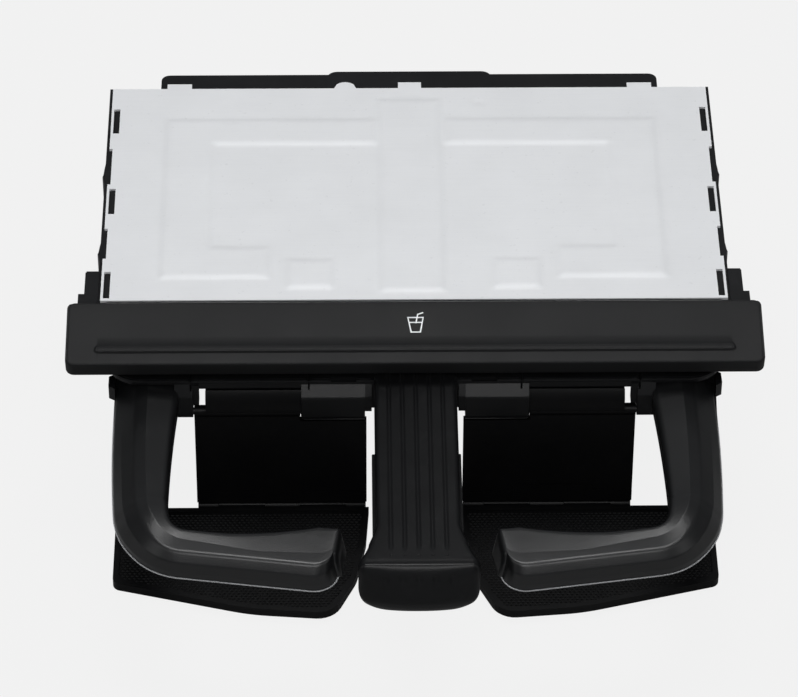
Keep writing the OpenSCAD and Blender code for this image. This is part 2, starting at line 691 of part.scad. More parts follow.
module carriage() color(black)
    difference() {
        union() {
            deck();
            both() carriage_side();
            // Middle block behind the beam
            block([-beam_w / 2 + 0.6, beam_rear, beam_low], [beam_w / 2 - 0.6, rear_deck, deck_low + 0.2]);
            // Striker of the touch latch
            block([latch_x[0] + 2, striker_y - 3, deck_top - 0.2], [latch_x[1] - 2, striker_y, latch_z[1] - 2]);
            // Post of the spring drum
            translate([drum_at.x, drum_at.y, deck_top - 0.2]) {
                cylinder(r = 3, h = drum_z - deck_top + 0.1);
                cylinder(r = 2, h = drum_z - deck_top + drum_h + 0.6);
            }
        }
        deck_slits();
        // Bores for the arm pins and the panels' rods
        both() translate([pivot.x, pivot.y, 0]) cylinder(r = pin_r + fit, h = deck_top + 1);
        both() bar(bracket[0] - 1, panel_out + 5, panel_axis, rod_r + fit);
    }

module arm_pins() color(spring_steel)
    both() translate([pivot.x, pivot.y, 0]) {
        translate([0, 0, plate_low]) cylinder(r = pin_r, h = deck_top - plate_low + 0.3);
        translate([0, 0, deck_top]) cylinder(r = pin_r + 1, h = 0.6);
    }

module arm_spring_left() color(spring_steel)
    translate([-pivot.x, pivot.y, pocket_z + spring_wire + 0.1])
        torsion_spring(spring_r, spring_wire, 2, spring_pitch, pivot.x - panel_out - 2.4);

module arm_spring_right() color(spring_steel) mirror([1, 0, 0])
    translate([-pivot.x, pivot.y, pocket_z + spring_wire + 0.1])
        torsion_spring(spring_r, spring_wire, 2, spring_pitch, pivot.x - panel_out - 2.4);

module panel_rod_left() color(spring_steel) mirror([1, 0, 0])
    bar(bracket[0] + 0.3, panel_out + 4.6, panel_axis, rod_r);
module panel_rod_right() color(spring_steel) bar(bracket[0] + 0.3, panel_out + 4.6, panel_axis, rod_r);

// Bridge

step_y = -0.46 * reach;
flare_y = 16.5 - reach;
nose_low = 0.2;
beam_low = plate_top + 0.4;
beam_rear = -4.7;

module bridge_plan(half, low, high)
    plate([[-half, -8, 0.5], [-half, flare_y, 6], [-nose_w / 2, 5 - reach, 3], [-nose_w / 2, 3.5 - reach, 1.1],
        [-nose_w / 4 - 2, 0.5 - reach, 14], [nose_w / 4 + 2, 0.5 - reach, 14], [nose_w / 2, 3.5 - reach, 1.1],
        [nose_w / 2, 5 - reach, 3], [half, flare_y, 6], [half, -8, 0.5]], low, high);

module bridge_cover() color(soft_black)
    difference() {
        intersection() {
            bridge_plan(bridge_w / 2, nose_low, bridge_top);
            // Side view: thin over the deck, a skirt along the bridge, and the full nose
            slab([[0, deck_top, 0], [0, bridge_top, 0], [4 - reach, bridge_top, 2.2], [-reach, 0.35 * bridge_top, 6],
                [1 - reach, nose_low, 1.5], [12 - reach, nose_low, 0.5], [12 - reach, skirt_low, 0.5],
                [front_y - 0.2, skirt_low, 0],
                [front_y - 0.2, deck_top, 0]], -nose_w, nose_w);
        }
        // Room for the beam
        block([-bridge_w / 2 + 1.4, 8 - reach, nose_low - 1], [bridge_w / 2 - 1.4, front_y, deck_low]);
        // Grooves, each ending in a small dimple
        for (i = [0 : grooves - 1]) let (x = (i - (grooves - 1) / 2) * groove_pitch) {
            translate([x, 6.8 - reach, bridge_top + 0.35]) rotate([-90, 0, 0]) cylinder(r = 0.9, h = reach, $fn = 24);
            translate([x, 6 - reach, bridge_top + 0.1]) sphere(r = 0.55, $fn = 24);
        }
        // Dimples across the nose
        for (i = [-2 : 2]) translate([i * 4.6, 1.3 - reach, 0.7 * bridge_top]) sphere(r = 1.1, $fn = 24);
    }

module bridge_beam() color(black)
    difference() {
        union() {
            block([-bridge_w / 2 + 1.6, 9 - reach, beam_low], [bridge_w / 2 - 1.6, beam_rear, deck_low]);
            // Flange that stands out beside the cover
            plate([[-beam_w / 2, flare_y - 3, 0.6], [beam_w / 2, flare_y - 3, 0.6], [beam_w / 2, step_y, 0.4],
                [-beam_w / 2, step_y, 0.4]], beam_low, flange_top);
        }
        // Open channels underneath
        for (i = [0 : 2]) let (l = (reach - 13) / 3)
            block([-bridge_w / 2 + 3.2, 10.6 - reach + i * l, beam_low - 1],
                [bridge_w / 2 - 3.2, 8.6 - reach + (i + 1) * l, deck_low - 1.6]);
    }

// Arms. Each station along the arm has a point on the outer edge, the direction in, and how far it has come.

elbow = [-arm_outer + elbow_r, leg_end];
hook_dir = [cos(hook_lean), -sin(hook_lean)];
sweep_end = 270 - hook_lean;
hook_start = elbow + elbow_r * [cos(sweep_end), sin(sweep_end)];
hook_l = -(nose_w / 2 + tip_room + hook_start.x) / hook_dir.x;

leg_n = 4;
elbow_n = 10;
hook_n = 6;
tip_n = 4;

stations = concat(
    [for (i = [0 : leg_n]) [[-arm_outer, mix(leg_start, leg_end, i / leg_n)], [1, 0], 0.25 * i / leg_n, 1]],
    [for (i = [1 : elbow_n - 1]) let (a = 180 + (sweep_end - 180) * i / elbow_n)
        [elbow + elbow_r * [cos(a), sin(a)], -[cos(a), sin(a)], 0.25 + 0.4 * i / elbow_n, 1]],
    [for (i = [0 : hook_n]) [hook_start + hook_dir * hook_l * i / hook_n, [-hook_dir.y, hook_dir.x],
        0.65 + 0.35 * i / hook_n, 1]],
    [for (i = [1 : tip_n]) let (a = 80 * i / tip_n)
        [hook_start + hook_dir * (hook_l + 2.6 * sin(a)), [-hook_dir.y, hook_dir.x], 1, cos(a)]]);

function smooth(t) = let (s = max(0, min(1, t))) s * s * (3 - 2 * s);
function arm_width(t) =
    t < 0.25 ? leg_w :
    t < 0.65 ? mix(leg_w, hook_w, smooth((t - 0.25) / 0.4)) :
    mix(hook_w, tip_w, pow((t - 0.65) / 0.35, 2.2));
function arm_crest(t) = mix(crest_low, crest_high, smooth(t / 0.6));
// How far in the crest lies: well in along the leg, near the front along the hook
function crest_in(t) = mix(0.6 * leg_w, 0.27 * tip_w, smooth((t - 0.2) / 0.5));

// Section of the arm at a station: corners as [in, up, radius]
function section(t) =
    let (w = arm_width(t), h = arm_crest(t), c = crest_in(t))
    outline([[0, grip_low, 0], [0.1, grip_low + 1.6, 1], [c * 0.45, mix(grip_low, h, 0.8), 3],
        [c, h, 1.2], [w, h - 0.14 * w, 1.8], [w - 0.2, grip_low, 0]]);

module arm_shape() {
    rings = [for (s = stations) let (w = arm_width(s[2]))
        [for (p = section(s[2])) let (u = mix(w / 2, p.x, s[3]), z = mix(grip_low, p.y, s[3]), q = s[0] + s[1] * u)
            [q.x, q.y, z]]];
    n = len(rings[0]);
    m = len(rings);
    polyhedron(
        [for (ring = rings) each ring],
        concat(
            [[for (k = [n - 1 : -1 : 0]) k]],
            [for (i = [0 : m - 2]) for (k = [0 : n - 1]) let (j = (k + 1) % n)
                [i * n + k, i * n + j, (i + 1) * n + j, (i + 1) * n + k]],
            [[for (k = [0 : n - 1]) (m - 1) * n + k]]),
        convexity = 6);
}

module arm_plate() {
    rim = 0.25;
    run = [for (s = stations) if (s[3] > 0.3) s];
    outer = [for (s = run) let (w = arm_width(s[2])) s[0] + s[1] * (mix(w / 2, 0, s[3]) - rim)];
    inner = [for (s = run) let (w = arm_width(s[2])) s[0] + s[1] * (mix(w / 2, w, s[3]) - 0.6)];
    back = len(run) - 1;
    difference() {
        union() {
            translate([0, 0, arm_low]) linear_extrude(arm_plate_t)
                polygon(concat(outer, [for (i = [back : -1 : 0]) inner[i]]));
            translate([-pivot.x, pivot.y, arm_low]) cylinder(r = knuckle_r, h = knuckle_top - arm_low);
            // Neck from the knuckle to the grip
            translate([0, 0, arm_low]) linear_extrude(crest_low - arm_low - 0.3)
                polygon([[-pivot.x - knuckle_r, pivot.y], [-arm_outer, leg_start], [-arm_outer + leg_w - 0.2, leg_start],
                    [-pivot.x + knuckle_r, pivot.y]]);
            // Lug beside the leg, and its foot on the plate
            plate([[-arm_outer - 1.8, leg_start + 1, 0.4], [-arm_outer - 1.8, leg_start - 3, 0.4],
                [-arm_outer - 0.05, leg_start - 4, 0], [-arm_outer - 0.05, leg_start + 2, 0]],
                grip_low - 0.5, grip_low + 4);
            plate([[-arm_outer - 0.9, leg_start, 0.2], [-arm_outer - 0.9, leg_start - 2.6, 0.2],
                [-arm_outer + 0.6, leg_start - 3, 0], [-arm_outer + 0.6, leg_start, 0]], arm_low, grip_low);
        }
        translate([-pivot.x, pivot.y, 0]) cylinder(r = pin_r + fit, h = case_h);
        // Pocket for the torsion spring, open towards the middle for its leg
        translate([-pivot.x, pivot.y, pocket_z]) cylinder(r = pocket_r, h = case_h);
        block([-pivot.x, pivot.y - 1.5, pocket_z + 0.6], [-pivot.x + knuckle_r + 2, pivot.y + knuckle_r, case_h]);
    }
}

module opened_right() translate([pivot.x, pivot.y, 0]) rotate(right_open) translate([-pivot.x, -pivot.y, 0])
    mirror([1, 0, 0]) children();

module arm_left() color(soft_black) arm_shape();
module arm_right() color(soft_black) opened_right() arm_shape();
module arm_base_left() color(black) arm_plate();
module arm_base_right() color(black) opened_right() arm_plate();

// Drop panels, drawn for the right side. The left one is its mirror image.

function knuckle_x(i) = mix(panel_in + 0.2, panel_out - 0.2, i == 0 ? 0 : i == 5 ? 1 : knuckles[i - 1]);

module panel_place() translate([0, panel_axis.x, panel_axis.y]) rotate([-panel_lean, 0, 0]) children();

module panel() {
    half = panel_t / 2;
    free = tray_back + 0.1;
    difference() {
        panel_place() {
            // The sheet, notched round the front bracket
            difference() {
                block([panel_in, -half, free - drop], [panel_out, half, 0]);
                block([panel_in - 1, -half - 1, bracket_drop], [bracket[1] + 0.4, half + 1, 1]);
            }
            bar(bracket[1] + 0.4, panel_out, [0, 0], barrel_r);
            // Knuckles of the tray hinge
            for (i = [0, 2, 4]) {
                bar(knuckle_x(i) + knuckle_gap, knuckle_x(i + 1) - knuckle_gap, [0, -drop], barrel_r);
                block([knuckle_x(i) + knuckle_gap, -half, -drop],
                    [knuckle_x(i + 1) - knuckle_gap, half, free - drop + 0.5]);
            }
            // Ribs on the back
            for (x = [panel_in + 4, (panel_in + panel_out) / 2, panel_out - 5.2])
                block([x, half - 0.2, free - drop + 0.5], [x + 1.2, half + 0.9, -6]);
            // Thicker band along the bottom
            block([panel_in, -half - 0.3, free - drop], [panel_out, half, free - drop + 3.4]);
        }
        panel_place() bar(panel_in - 1, panel_out + 1, [0, 0], rod_r + fit);
        panel_place() bar(panel_in - 1, panel_out + 1, [0, -drop], rod_r + fit);
    }
}

module panel_left() color(black) mirror([1, 0, 0]) panel();
module panel_right() color(black) {
    panel();
    // Raised rectangle near the bottom
    panel_place() block([mix(panel_in, panel_out, 0.3), -panel_t / 2 - 0.6, tray_back + 0.4 - drop],
        [mix(panel_in, panel_out, 0.72), -panel_t / 2 - 0.2, 8 - drop]);
}

module tray_rod() bar(panel_in + 0.5, panel_out - 0.5, tray_axis, rod_r);
module tray_rod_left() color(spring_steel) mirror([1, 0, 0]) tray_rod();
module tray_rod_right() color(spring_steel) tray_rod();

// Trays. Their inner front corner is cut back beside the nose.

function tray_corners(inset) =
    let (y = tray_axis.x, back = inset > 0 ? tray_back + inset : tray_back)
    [[tray_inner + inset, y - back, 0], [tray_inner + 0.9 + inset, y - 16, 14],
        [tray_inner + 3.6 + inset, y - 30, 14], [tray_inner + 10 + inset * 0.7, y - tray_depth + inset, 7 - inset],
        [tray_inner + 33, y - tray_depth + 2 + inset, 60],
        [tray_outer - inset, y - tray_side + inset, 2.5], [tray_outer - inset, y - back, 0.5]];

module tray() {
    top = tray_axis.y + tray_over;
    low = top - tray_t;
    difference() {
        union() {
            plate(tray_corners(0), low, top);
            for (i = [1, 3]) {
                bar(knuckle_x(i) + knuckle_gap, knuckle_x(i + 1) - knuckle_gap, tray_axis, barrel_r - 0.2);
                block([knuckle_x(i) + knuckle_gap, tray_axis.x - tray_back - 1, low + 0.3],
                    [knuckle_x(i + 1) - knuckle_gap, tray_axis.x, top]);
            }
        }
        plate(tray_corners(rim_w), top - grain_d, top + 1);
        bar(panel_in - 1, panel_out + 1, tray_axis, rod_r + fit);
    }
}

module tray_left() color(black) mirror([1, 0, 0]) tray();
module tray_right() color(black) tray();

base_shell();
top_cover();
side_clips();
rack();
flap_pins();
flap_springs();
latch_body();
spring_tail();
flap();
cup_symbol();
latch_plunger();
carriage();
bridge_cover();
bridge_beam();
arm_pins();
arm_spring_left();
arm_spring_right();
panel_rod_left();
panel_rod_right();
damper_body();
damper_pinion();
spring_drum();
eject_spring();
arm_left();
arm_base_left();
arm_right();
arm_base_right();
panel_left();
panel_right();
tray_rod_left();
tray_rod_right();
tray_left();
tray_right();
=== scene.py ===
import json
import math

import bmesh
import bpy
from mathutils import Matrix, Vector


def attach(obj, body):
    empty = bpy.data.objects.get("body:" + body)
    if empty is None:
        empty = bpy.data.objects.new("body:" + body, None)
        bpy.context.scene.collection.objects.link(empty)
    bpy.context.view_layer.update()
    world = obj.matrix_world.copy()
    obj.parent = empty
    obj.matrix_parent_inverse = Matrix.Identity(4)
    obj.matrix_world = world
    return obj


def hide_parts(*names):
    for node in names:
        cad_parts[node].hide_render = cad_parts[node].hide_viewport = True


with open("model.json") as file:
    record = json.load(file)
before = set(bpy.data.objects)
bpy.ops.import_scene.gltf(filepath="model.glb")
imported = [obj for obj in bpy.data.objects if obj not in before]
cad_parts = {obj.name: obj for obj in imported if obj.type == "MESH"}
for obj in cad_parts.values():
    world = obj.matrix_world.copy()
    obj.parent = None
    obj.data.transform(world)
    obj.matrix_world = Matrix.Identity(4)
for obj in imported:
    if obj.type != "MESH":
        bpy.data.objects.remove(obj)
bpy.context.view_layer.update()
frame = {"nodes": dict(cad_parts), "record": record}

MM = 0.001

# Sizes of the part that the pieces here share with the solids, in millimetres
CASE_H = 24
SHEET_T = 0.8
COVER_W = 175
COVER_L = 94.5
EMBOSS_H = 0.45
WALL_X = 88.4
PIVOT = (75, -8)
ARM_OUTER = 83.2
GRIP_LOW = 4.6
REACH = 99
BRIDGE_TOP = 15
DECK_TOP = 14
DECK_FRONT = -22.5
DECK_X = 85.7
BRACKET = (13.9, 31.5)
PANEL_OUT = 61.3
LEDGE_X = 58.1
TRAY_TOP = -30.016
TRAY_HINGE_Y = -25.193
FLAP_HALF = 96.3
FLAP_L = 20.8
FLAP_LIP = 5.1
FLAP_T = 2.4
FLAP_REAR = (-3, 26)
FLAP_TILT = 11.3

# The photo's width and focal length in pixels, and the camera's sensor in millimetres
PHOTO_W, PHOTO_FOCAL = 798, 4150.57
SENSOR_W = 36


# Camera

def photo_camera():
    elevation, yaw, roll = math.radians(42), math.radians(-0.905), math.radians(0.313)
    distance = 1.14115
    target = Vector((-4.511, -20.516, 24)) * MM
    back = Vector((math.sin(yaw) * math.cos(elevation), -math.cos(yaw) * math.cos(elevation),
                   math.sin(elevation)))
    right = Vector((math.cos(yaw), math.sin(yaw), 0))
    up = back.cross(right)
    side = right * math.cos(roll) + up * math.sin(roll)
    top = up * math.cos(roll) - right * math.sin(roll)
    data = bpy.data.cameras.new("camera")
    data.sensor_fit = "HORIZONTAL"
    data.sensor_width = SENSOR_W
    data.lens = PHOTO_FOCAL * SENSOR_W / PHOTO_W
    data.clip_end = 20
    obj = bpy.data.objects.new("camera", data)
    turn = Matrix((side, top, back)).transposed()
    obj.matrix_world = Matrix.Translation(target + back * distance) @ turn.to_4x4()
    bpy.context.scene.collection.objects.link(obj)
    bpy.context.scene.camera = obj


# Materials

class Nodes:
    """Short hand for building a node tree."""

    def __init__(self, tree):
        self.tree = tree

    def add(self, kind, **sockets):
        node = self.tree.nodes.new(kind)
        for name, value in sockets.items():
            self.put(node, name.replace("_", " "), value)
        return node

    def put(self, node, name, value):
        socket = node.inputs[name]
        if isinstance(value, bpy.types.NodeSocket):
            self.tree.links.new(value, socket)
        else:
            socket.default_value = value

    def math(self, operation, a, b=0.0, c=0.0, clamp=False):
        node = self.tree.nodes.new("ShaderNodeMath")
        node.operation = operation
        node.use_clamp = clamp
        for socket, value in zip(node.inputs, (a, b, c)):
            if isinstance(value, bpy.types.NodeSocket):
                self.tree.links.new(value, socket)
            else:
                socket.default_value = value
        return node.outputs[0]

    def ramp(self, value, low, high, out_low=0.0, out_high=1.0):
        node = self.tree.nodes.new("ShaderNodeMapRange")
        node.clamp = True
        limits = (("From Min", low), ("From Max", high), ("To Min", out_low), ("To Max", out_high))
        for name, number in limits:
            self.put(node, name, number)
        self.put(node, "Value", value)
        return node.outputs["Result"]

    def mix(self, factor, a, b):
        node = self.tree.nodes.new("ShaderNodeMix")
        node.data_type = "RGBA"
        for socket, value in ((node.inputs[0], factor), (node.inputs[6], a), (node.inputs[7], b)):
            if isinstance(value, bpy.types.NodeSocket):
                self.tree.links.new(value, socket)
            else:
                socket.default_value = value
        return node.outputs[2]


def shader_group(name, inputs, outputs):
    tree = bpy.data.node_groups.new(name, "ShaderNodeTree")
    for label, kind, value in inputs:
        socket = tree.interface.new_socket(name=label, in_out="INPUT", socket_type=kind)
        socket.default_value = value
    for label, kind in outputs:
        tree.interface.new_socket(name=label, in_out="OUTPUT", socket_type=kind)
    n = Nodes(tree)
    return n, tree.nodes.new("NodeGroupInput"), tree.nodes.new("NodeGroupOutput")


def moulded_skin_group():
    """Moulded plastic: faint cloudiness, a fine spark-eroded texture, and handling marks."""
    n, given, out = shader_group(
        "moulded_skin",
        [("Colour", "NodeSocketColor", (0.02, 0.02, 0.02, 1)),
         ("Marks", "NodeSocketColor", (0.05, 0.05, 0.05, 1)),
         ("Grain Scale", "NodeSocketFloat", 2500.0), ("Low Gloss", "NodeSocketFloat", 0.4),
         ("High Gloss", "NodeSocketFloat", 0.5)],
        [("Colour", "NodeSocketColor"), ("Roughness", "NodeSocketFloat"), ("Height", "NodeSocketFloat")])
    place = n.add("ShaderNodeTexCoord").outputs["Object"]
    cloud = n.add("ShaderNodeTexNoise", Vector=place, Scale=38.0, Detail=3.0, Roughness=0.55)
    rub = n.add("ShaderNodeTexNoise", Vector=place, Scale=210.0, Detail=5.0, Roughness=0.7, Distortion=0.6)
    grain = n.add("ShaderNodeTexNoise", Vector=place, Scale=given.outputs["Grain Scale"], Detail=2.0,
                  Roughness=0.5)
    pits = n.add("ShaderNodeTexVoronoi", Vector=place, Scale=given.outputs["Grain Scale"])
    worn = n.math("MULTIPLY", n.ramp(rub.outputs["Fac"], 0.56, 0.74), 0.35)
    n.put(out, "Colour", n.mix(n.math("ADD", worn, n.ramp(cloud.outputs["Fac"], 0.35, 0.75, 0.0, 0.25)),
                               given.outputs["Colour"], given.outputs["Marks"]))
    gloss = n.tree.nodes.new("ShaderNodeMapRange")
    for name, value in (("Value", cloud.outputs["Fac"]), ("From Min", 0.3), ("From Max", 0.7),
                        ("To Min", given.outputs["Low Gloss"]), ("To Max", given.outputs["High Gloss"])):
        n.put(gloss, name, value)
    n.put(out, "Roughness", n.math("ADD", gloss.outputs["Result"], n.math("MULTIPLY", worn, 0.2)))
    n.put(out, "Height", n.math("ADD", n.math("MULTIPLY", grain.outputs["Fac"], 0.6),
                                n.math("MULTIPLY", pits.outputs["Distance"], 0.4)))
    return n.tree


def plastic(name, skin, colour, marks, grain, gloss, depth, specular=0.5):
    """A plastic with the shared skin. gloss is the range of roughness, depth the texture's depth in mm."""
    mat = bpy.data.materials.new(name)
    mat.use_nodes = True
    n = Nodes(mat.node_tree)
    shader = mat.node_tree.nodes["Principled BSDF"]
    group = n.tree.nodes.new("ShaderNodeGroup")
    group.node_tree = skin
    for label, value in (("Colour", (*colour, 1)), ("Marks", (*marks, 1)), ("Grain Scale", grain),
                         ("Low Gloss", gloss[0]), ("High Gloss", gloss[1])):
        group.inputs[label].default_value = value
    bump = n.add("ShaderNodeBump", Strength=0.6, Distance=depth * MM, Height=group.outputs["Height"])
    n.put(shader, "Base Color", group.outputs["Colour"])
    n.put(shader, "Roughness", group.outputs["Roughness"])
    n.put(shader, "Normal", bump.outputs["Normal"])
    n.put(shader, "IOR", 1.5)
    n.put(shader, "Specular IOR Level", specular)
    mat.diffuse_color = (*colour, 1)
    return mat


def rolled_steel_group():
    """Plated sheet steel: fine rolling lines along X, soft clouds and a few specks."""
    n, given, out = shader_group(
        "rolled_steel",
        [("Light", "NodeSocketColor", (0.8, 0.8, 0.8, 1)), ("Dark", "NodeSocketColor", (0.6, 0.6, 0.6, 1)),
         ("Roughness", "NodeSocketFloat", 0.4)],
        [("Colour", "NodeSocketColor"), ("Roughness", "NodeSocketFloat"), ("Height", "NodeSocketFloat")])
    place = n.add("ShaderNodeTexCoord").outputs["Object"]
    along = n.add("ShaderNodeMapping", Vector=place, Scale=(60.0, 2600.0, 2600.0))
    lines = n.add("ShaderNodeTexNoise", Vector=along.outputs[0], Scale=1.0, Detail=2.0, Roughness=0.6)
    clouds = n.add("ShaderNodeTexNoise", Vector=place, Scale=45.0, Detail=4.0, Roughness=0.6)
    specks = n.add("ShaderNodeTexNoise", Vector=place, Scale=900.0, Detail=1.0, Roughness=0.4)
    speck = n.math("MULTIPLY", n.ramp(specks.outputs["Fac"], 0.72, 0.76), 0.5)
    dark = n.math("ADD", n.math("MULTIPLY", n.ramp(clouds.outputs["Fac"], 0.35, 0.7), 0.35),
                  n.math("MULTIPLY", lines.outputs["Fac"], 0.3))
    n.put(out, "Colour", n.mix(n.math("ADD", dark, speck, clamp=True), given.outputs["Light"],
                               given.outputs["Dark"]))
    n.put(out, "Roughness", n.math("ADD", given.outputs["Roughness"],
                                   n.math("MULTIPLY", n.math("SUBTRACT", lines.outputs["Fac"], 0.5), 0.25)))
    n.put(out, "Height", n.math("ADD", n.math("MULTIPLY", lines.outputs["Fac"], 0.15), clouds.outputs["Fac"]))
    return n.tree


def metal(name, skin, light, dark, roughness, metallic, depth):
    mat = bpy.data.materials.new(name)
    mat.use_nodes = True
    n = Nodes(mat.node_tree)
    shader = mat.node_tree.nodes["Principled BSDF"]
    group = n.tree.nodes.new("ShaderNodeGroup")
    group.node_tree = skin
    for label, value in (("Light", (*light, 1)), ("Dark", (*dark, 1)), ("Roughness", roughness)):
        group.inputs[label].default_value = value
    bump = n.add("ShaderNodeBump", Strength=0.5, Distance=depth * MM, Height=group.outputs["Height"])
    n.put(shader, "Base Color", group.outputs["Colour"])
    n.put(shader, "Roughness", group.outputs["Roughness"])
    n.put(shader, "Metallic", metallic)
    n.put(shader, "Normal", bump.outputs["Normal"])
    mat.diffuse_color = (*light, 1)
    return mat


# Colour, colour of the marks, grain scale, range of roughness, depth of the texture in mm, specular level
PLASTICS = {
    "case_plastic": ((0.006, 0.0062, 0.007), (0.013, 0.0135, 0.015), 2600, (0.34, 0.44), 0.02, 0.22),
    "frame_plastic": ((0.004, 0.0041, 0.0045), (0.009, 0.0095, 0.0105), 2400, (0.26, 0.36), 0.015, 0.25),
    "flap_plastic": ((0.010, 0.0102, 0.0107), (0.014, 0.0143, 0.015), 3200, (0.48, 0.56), 0.03, 0.17),
    "bridge_plastic": ((0.0038, 0.0039, 0.0043), (0.008, 0.0084, 0.009), 3000, (0.28, 0.36), 0.02, 0.22),
    "arm_plastic": ((0.005, 0.0052, 0.0056), (0.010, 0.0105, 0.0115), 3000, (0.30, 0.37), 0.04, 0.5),
    # The rim's light grey colour is a painted highlight along the thin lip at the foot of each grip
    "painted_highlight_rim": ((0.34, 0.345, 0.355), (0.40, 0.405, 0.41), 3000, (0.25, 0.33), 0.005, 0.6),
    "panel_plastic": ((0.002, 0.002, 0.0022), (0.005, 0.005, 0.0055), 2400, (0.34, 0.44), 0.02, 0.12),
    "tray_plastic": ((0.0022, 0.0023, 0.0026), (0.005, 0.0053, 0.006), 2800, (0.36, 0.46), 0.03, 0.18),
    "nylon": ((0.72, 0.70, 0.64), (0.60, 0.58, 0.52), 2000, (0.38, 0.48), 0.01, 0.5),
    "print_white": ((0.82, 0.84, 0.85), (0.70, 0.72, 0.73), 2600, (0.45, 0.55), 0.01, 0.5),
}
# Light and dark colour, roughness, metallic, depth of the texture in mm
METALS = {
    "cover_steel": ((0.795, 0.806, 0.822), (0.705, 0.715, 0.729), 0.55, 0.1, 0.04),
    "dark_steel": ((0.02, 0.02, 0.022), (0.01, 0.01, 0.011), 0.35, 0.6, 0.01),
    "spring_steel": ((0.52, 0.53, 0.55), (0.36, 0.37, 0.39), 0.3, 1.0, 0.01),
}


def make_materials():
    skin = moulded_skin_group()
    steel = rolled_steel_group()
    mats = {name: plastic(name, skin, *values) for name, values in PLASTICS.items()}
    mats.update({name: metal(name, steel, *values) for name, values in METALS.items()})
    return mats


def dress(obj, mat):
    """Gives a CAD node its finish through its material slots."""
    if not obj.material_slots:
        obj.data.materials.append(mat)
    for slot in obj.material_slots:
        slot.material = mat


# Mesh helpers

def make_object(name, verts, faces, mat, smooth_deg=35):
    """A mesh object from points in millimetres."""
    mesh = bpy.data.meshes.new(name)
    mesh.from_pydata([Vector(v) * MM for v in verts], [], faces)
    mesh.validate()
    obj = bpy.data.objects.new(name, mesh)
    bpy.context.scene.collection.objects.link(obj)
    bm = bmesh.new()
    bm.from_mesh(mesh)
    bmesh.ops.remove_doubles(bm, verts=bm.verts, dist=1e-7)
    bmesh.ops.recalc_face_normals(bm, faces=bm.faces)
    for face in bm.faces:
        face.smooth = True
    limit = math.radians(smooth_deg)
    for edge in bm.edges:
        edge.smooth = len(edge.link_faces) == 2 and edge.calc_face_angle(0) < limit
    bm.to_mesh(mesh)
    bm.free()
    mesh.materials.append(mat)
    return obj


def loft(rings, closed_ends=True):
    """Skins a list of rings, all with the same number of points."""
    count = len(rings[0])
    verts = [p for ring in rings for p in ring]
    faces = []
    for i in range(len(rings) - 1):
        for k in range(count):
            j = (k + 1) % count
            faces.append((i * count + k, i * count + j, (i + 1) * count + j, (i + 1) * count + k))
    if closed_ends:
        faces.append(tuple(range(count)))
        faces.append(tuple((len(rings) - 1) * count + k for k in reversed(range(count))))
    return verts, faces


def add_part(verts, faces, part):
    """Adds a part's points and faces to the lists of a mesh."""
    more, sides = part
    faces += [tuple(len(verts) + k for k in face) for face in sides]
    verts += more


def rounded_block(low, high, radius, step):
    """The surface of a box with rounded edges, as an even grid of points."""
    verts, faces, found = [], [], {}

    def point(p):
        q = [min(max(p[a], low[a] + radius), high[a] - radius) for a in range(3)]
        out = Vector([p[a] - q[a] for a in range(3)])
        r = Vector(q) + (out.normalized() * radius if out.length > 1e-9 else out)
        key = tuple(round(c, 5) for c in r)
        if key not in found:
            found[key] = len(verts)
            verts.append(r)
        return found[key]

    def ticks(axis):
        size = high[axis] - low[axis]
        inner = max(1, round((size - 2 * radius) / step[axis]))
        turn = 5
        edge = [radius * (1 - math.tan(math.radians(45 * (1 - i / turn)))) for i in range(turn)]
        start = [low[axis] + e for e in edge]
        middle = [low[axis] + radius + (size - 2 * radius) * i / inner for i in range(inner + 1)]
        return start + middle + [high[axis] - e for e in reversed(edge)]

    grid = [ticks(a) for a in range(3)]
    for a in range(3):
        b, c = (a + 1) % 3, (a + 2) % 3
        for level, flip in ((low[a], True), (high[a], False)):
            for i in range(len(grid[b]) - 1):
                for j in range(len(grid[c]) - 1):
                    corners = []
                    for u, v in ((i, j), (i + 1, j), (i + 1, j + 1), (i, j + 1)):
                        p = [0, 0, 0]
                        p[a], p[b], p[c] = level, grid[b][u], grid[c][v]
                        corners.append(point(p))
                    if len(set(corners)) < 3:
                        continue
                    faces.append(tuple(reversed(corners)) if flip else tuple(corners))
    return verts, faces


def smooth(t):
    t = min(1.0, max(0.0, t))
    return t * t * (3 - 2 * t)


def mix(a, b, t):
    return a + (b - a) * t


# Arms

LEG_W, ELBOW_W, HOOK_W, TIP_W = 18.4, 14.7, 11.0, 17.0
LEG_START_Y, ELBOW_Y = -17, -67
# Shares of the way along the arm at which its leg and its elbow end
LEG_END, ELBOW_END = 0.25, 0.65
LEG_STEPS, ELBOW_STEPS, HOOK_STEPS, TIP_STEPS = 16, 36, 20, 14
# The outer edge bends in by BOW at BOW_L past BOW_START_Y, and its share of that way stops at BOW_MOST
BOW, BOW_START_Y, BOW_L, BOW_MOST = 1.05, -30, 32.5, 1.25
CREST_LOW, CREST_HIGH = 12.3, 15.0
ELBOW_R = 23.0
HOOK_LEAN = math.radians(8.4)
HOOK_L = 41.6
TIP_R = 6.5
TIP_SLOPE = 2.0
TIP_DOME, TIP_DOME_INSET = 1.3, 0.42
RIM_OUT, RIM_UP, RIM_R = 0.12, 0.15, 0.2
PLATE_INSET, PLATE_FROM_Y = 0.3, -22
# How far the right grip stands open, in degrees
RIGHT_OPEN = 0.4
CREASE = [(0, 9.4), (0.25, 9.2), (0.65, 7.2), (0.85, 5.4), (1, 6.8)]
ALONG = Vector((math.cos(HOOK_LEAN), -math.sin(HOOK_LEAN)))
INWARD = Vector((math.sin(HOOK_LEAN), math.cos(HOOK_LEAN)))


def on_line(points, t):
    """Value at t on a line through (t, value) points."""
    for (t0, a), (t1, b) in zip(points, points[1:]):
        if t <= t1:
            return mix(a, b, (t - t0) / (t1 - t0))
    return points[-1][1]


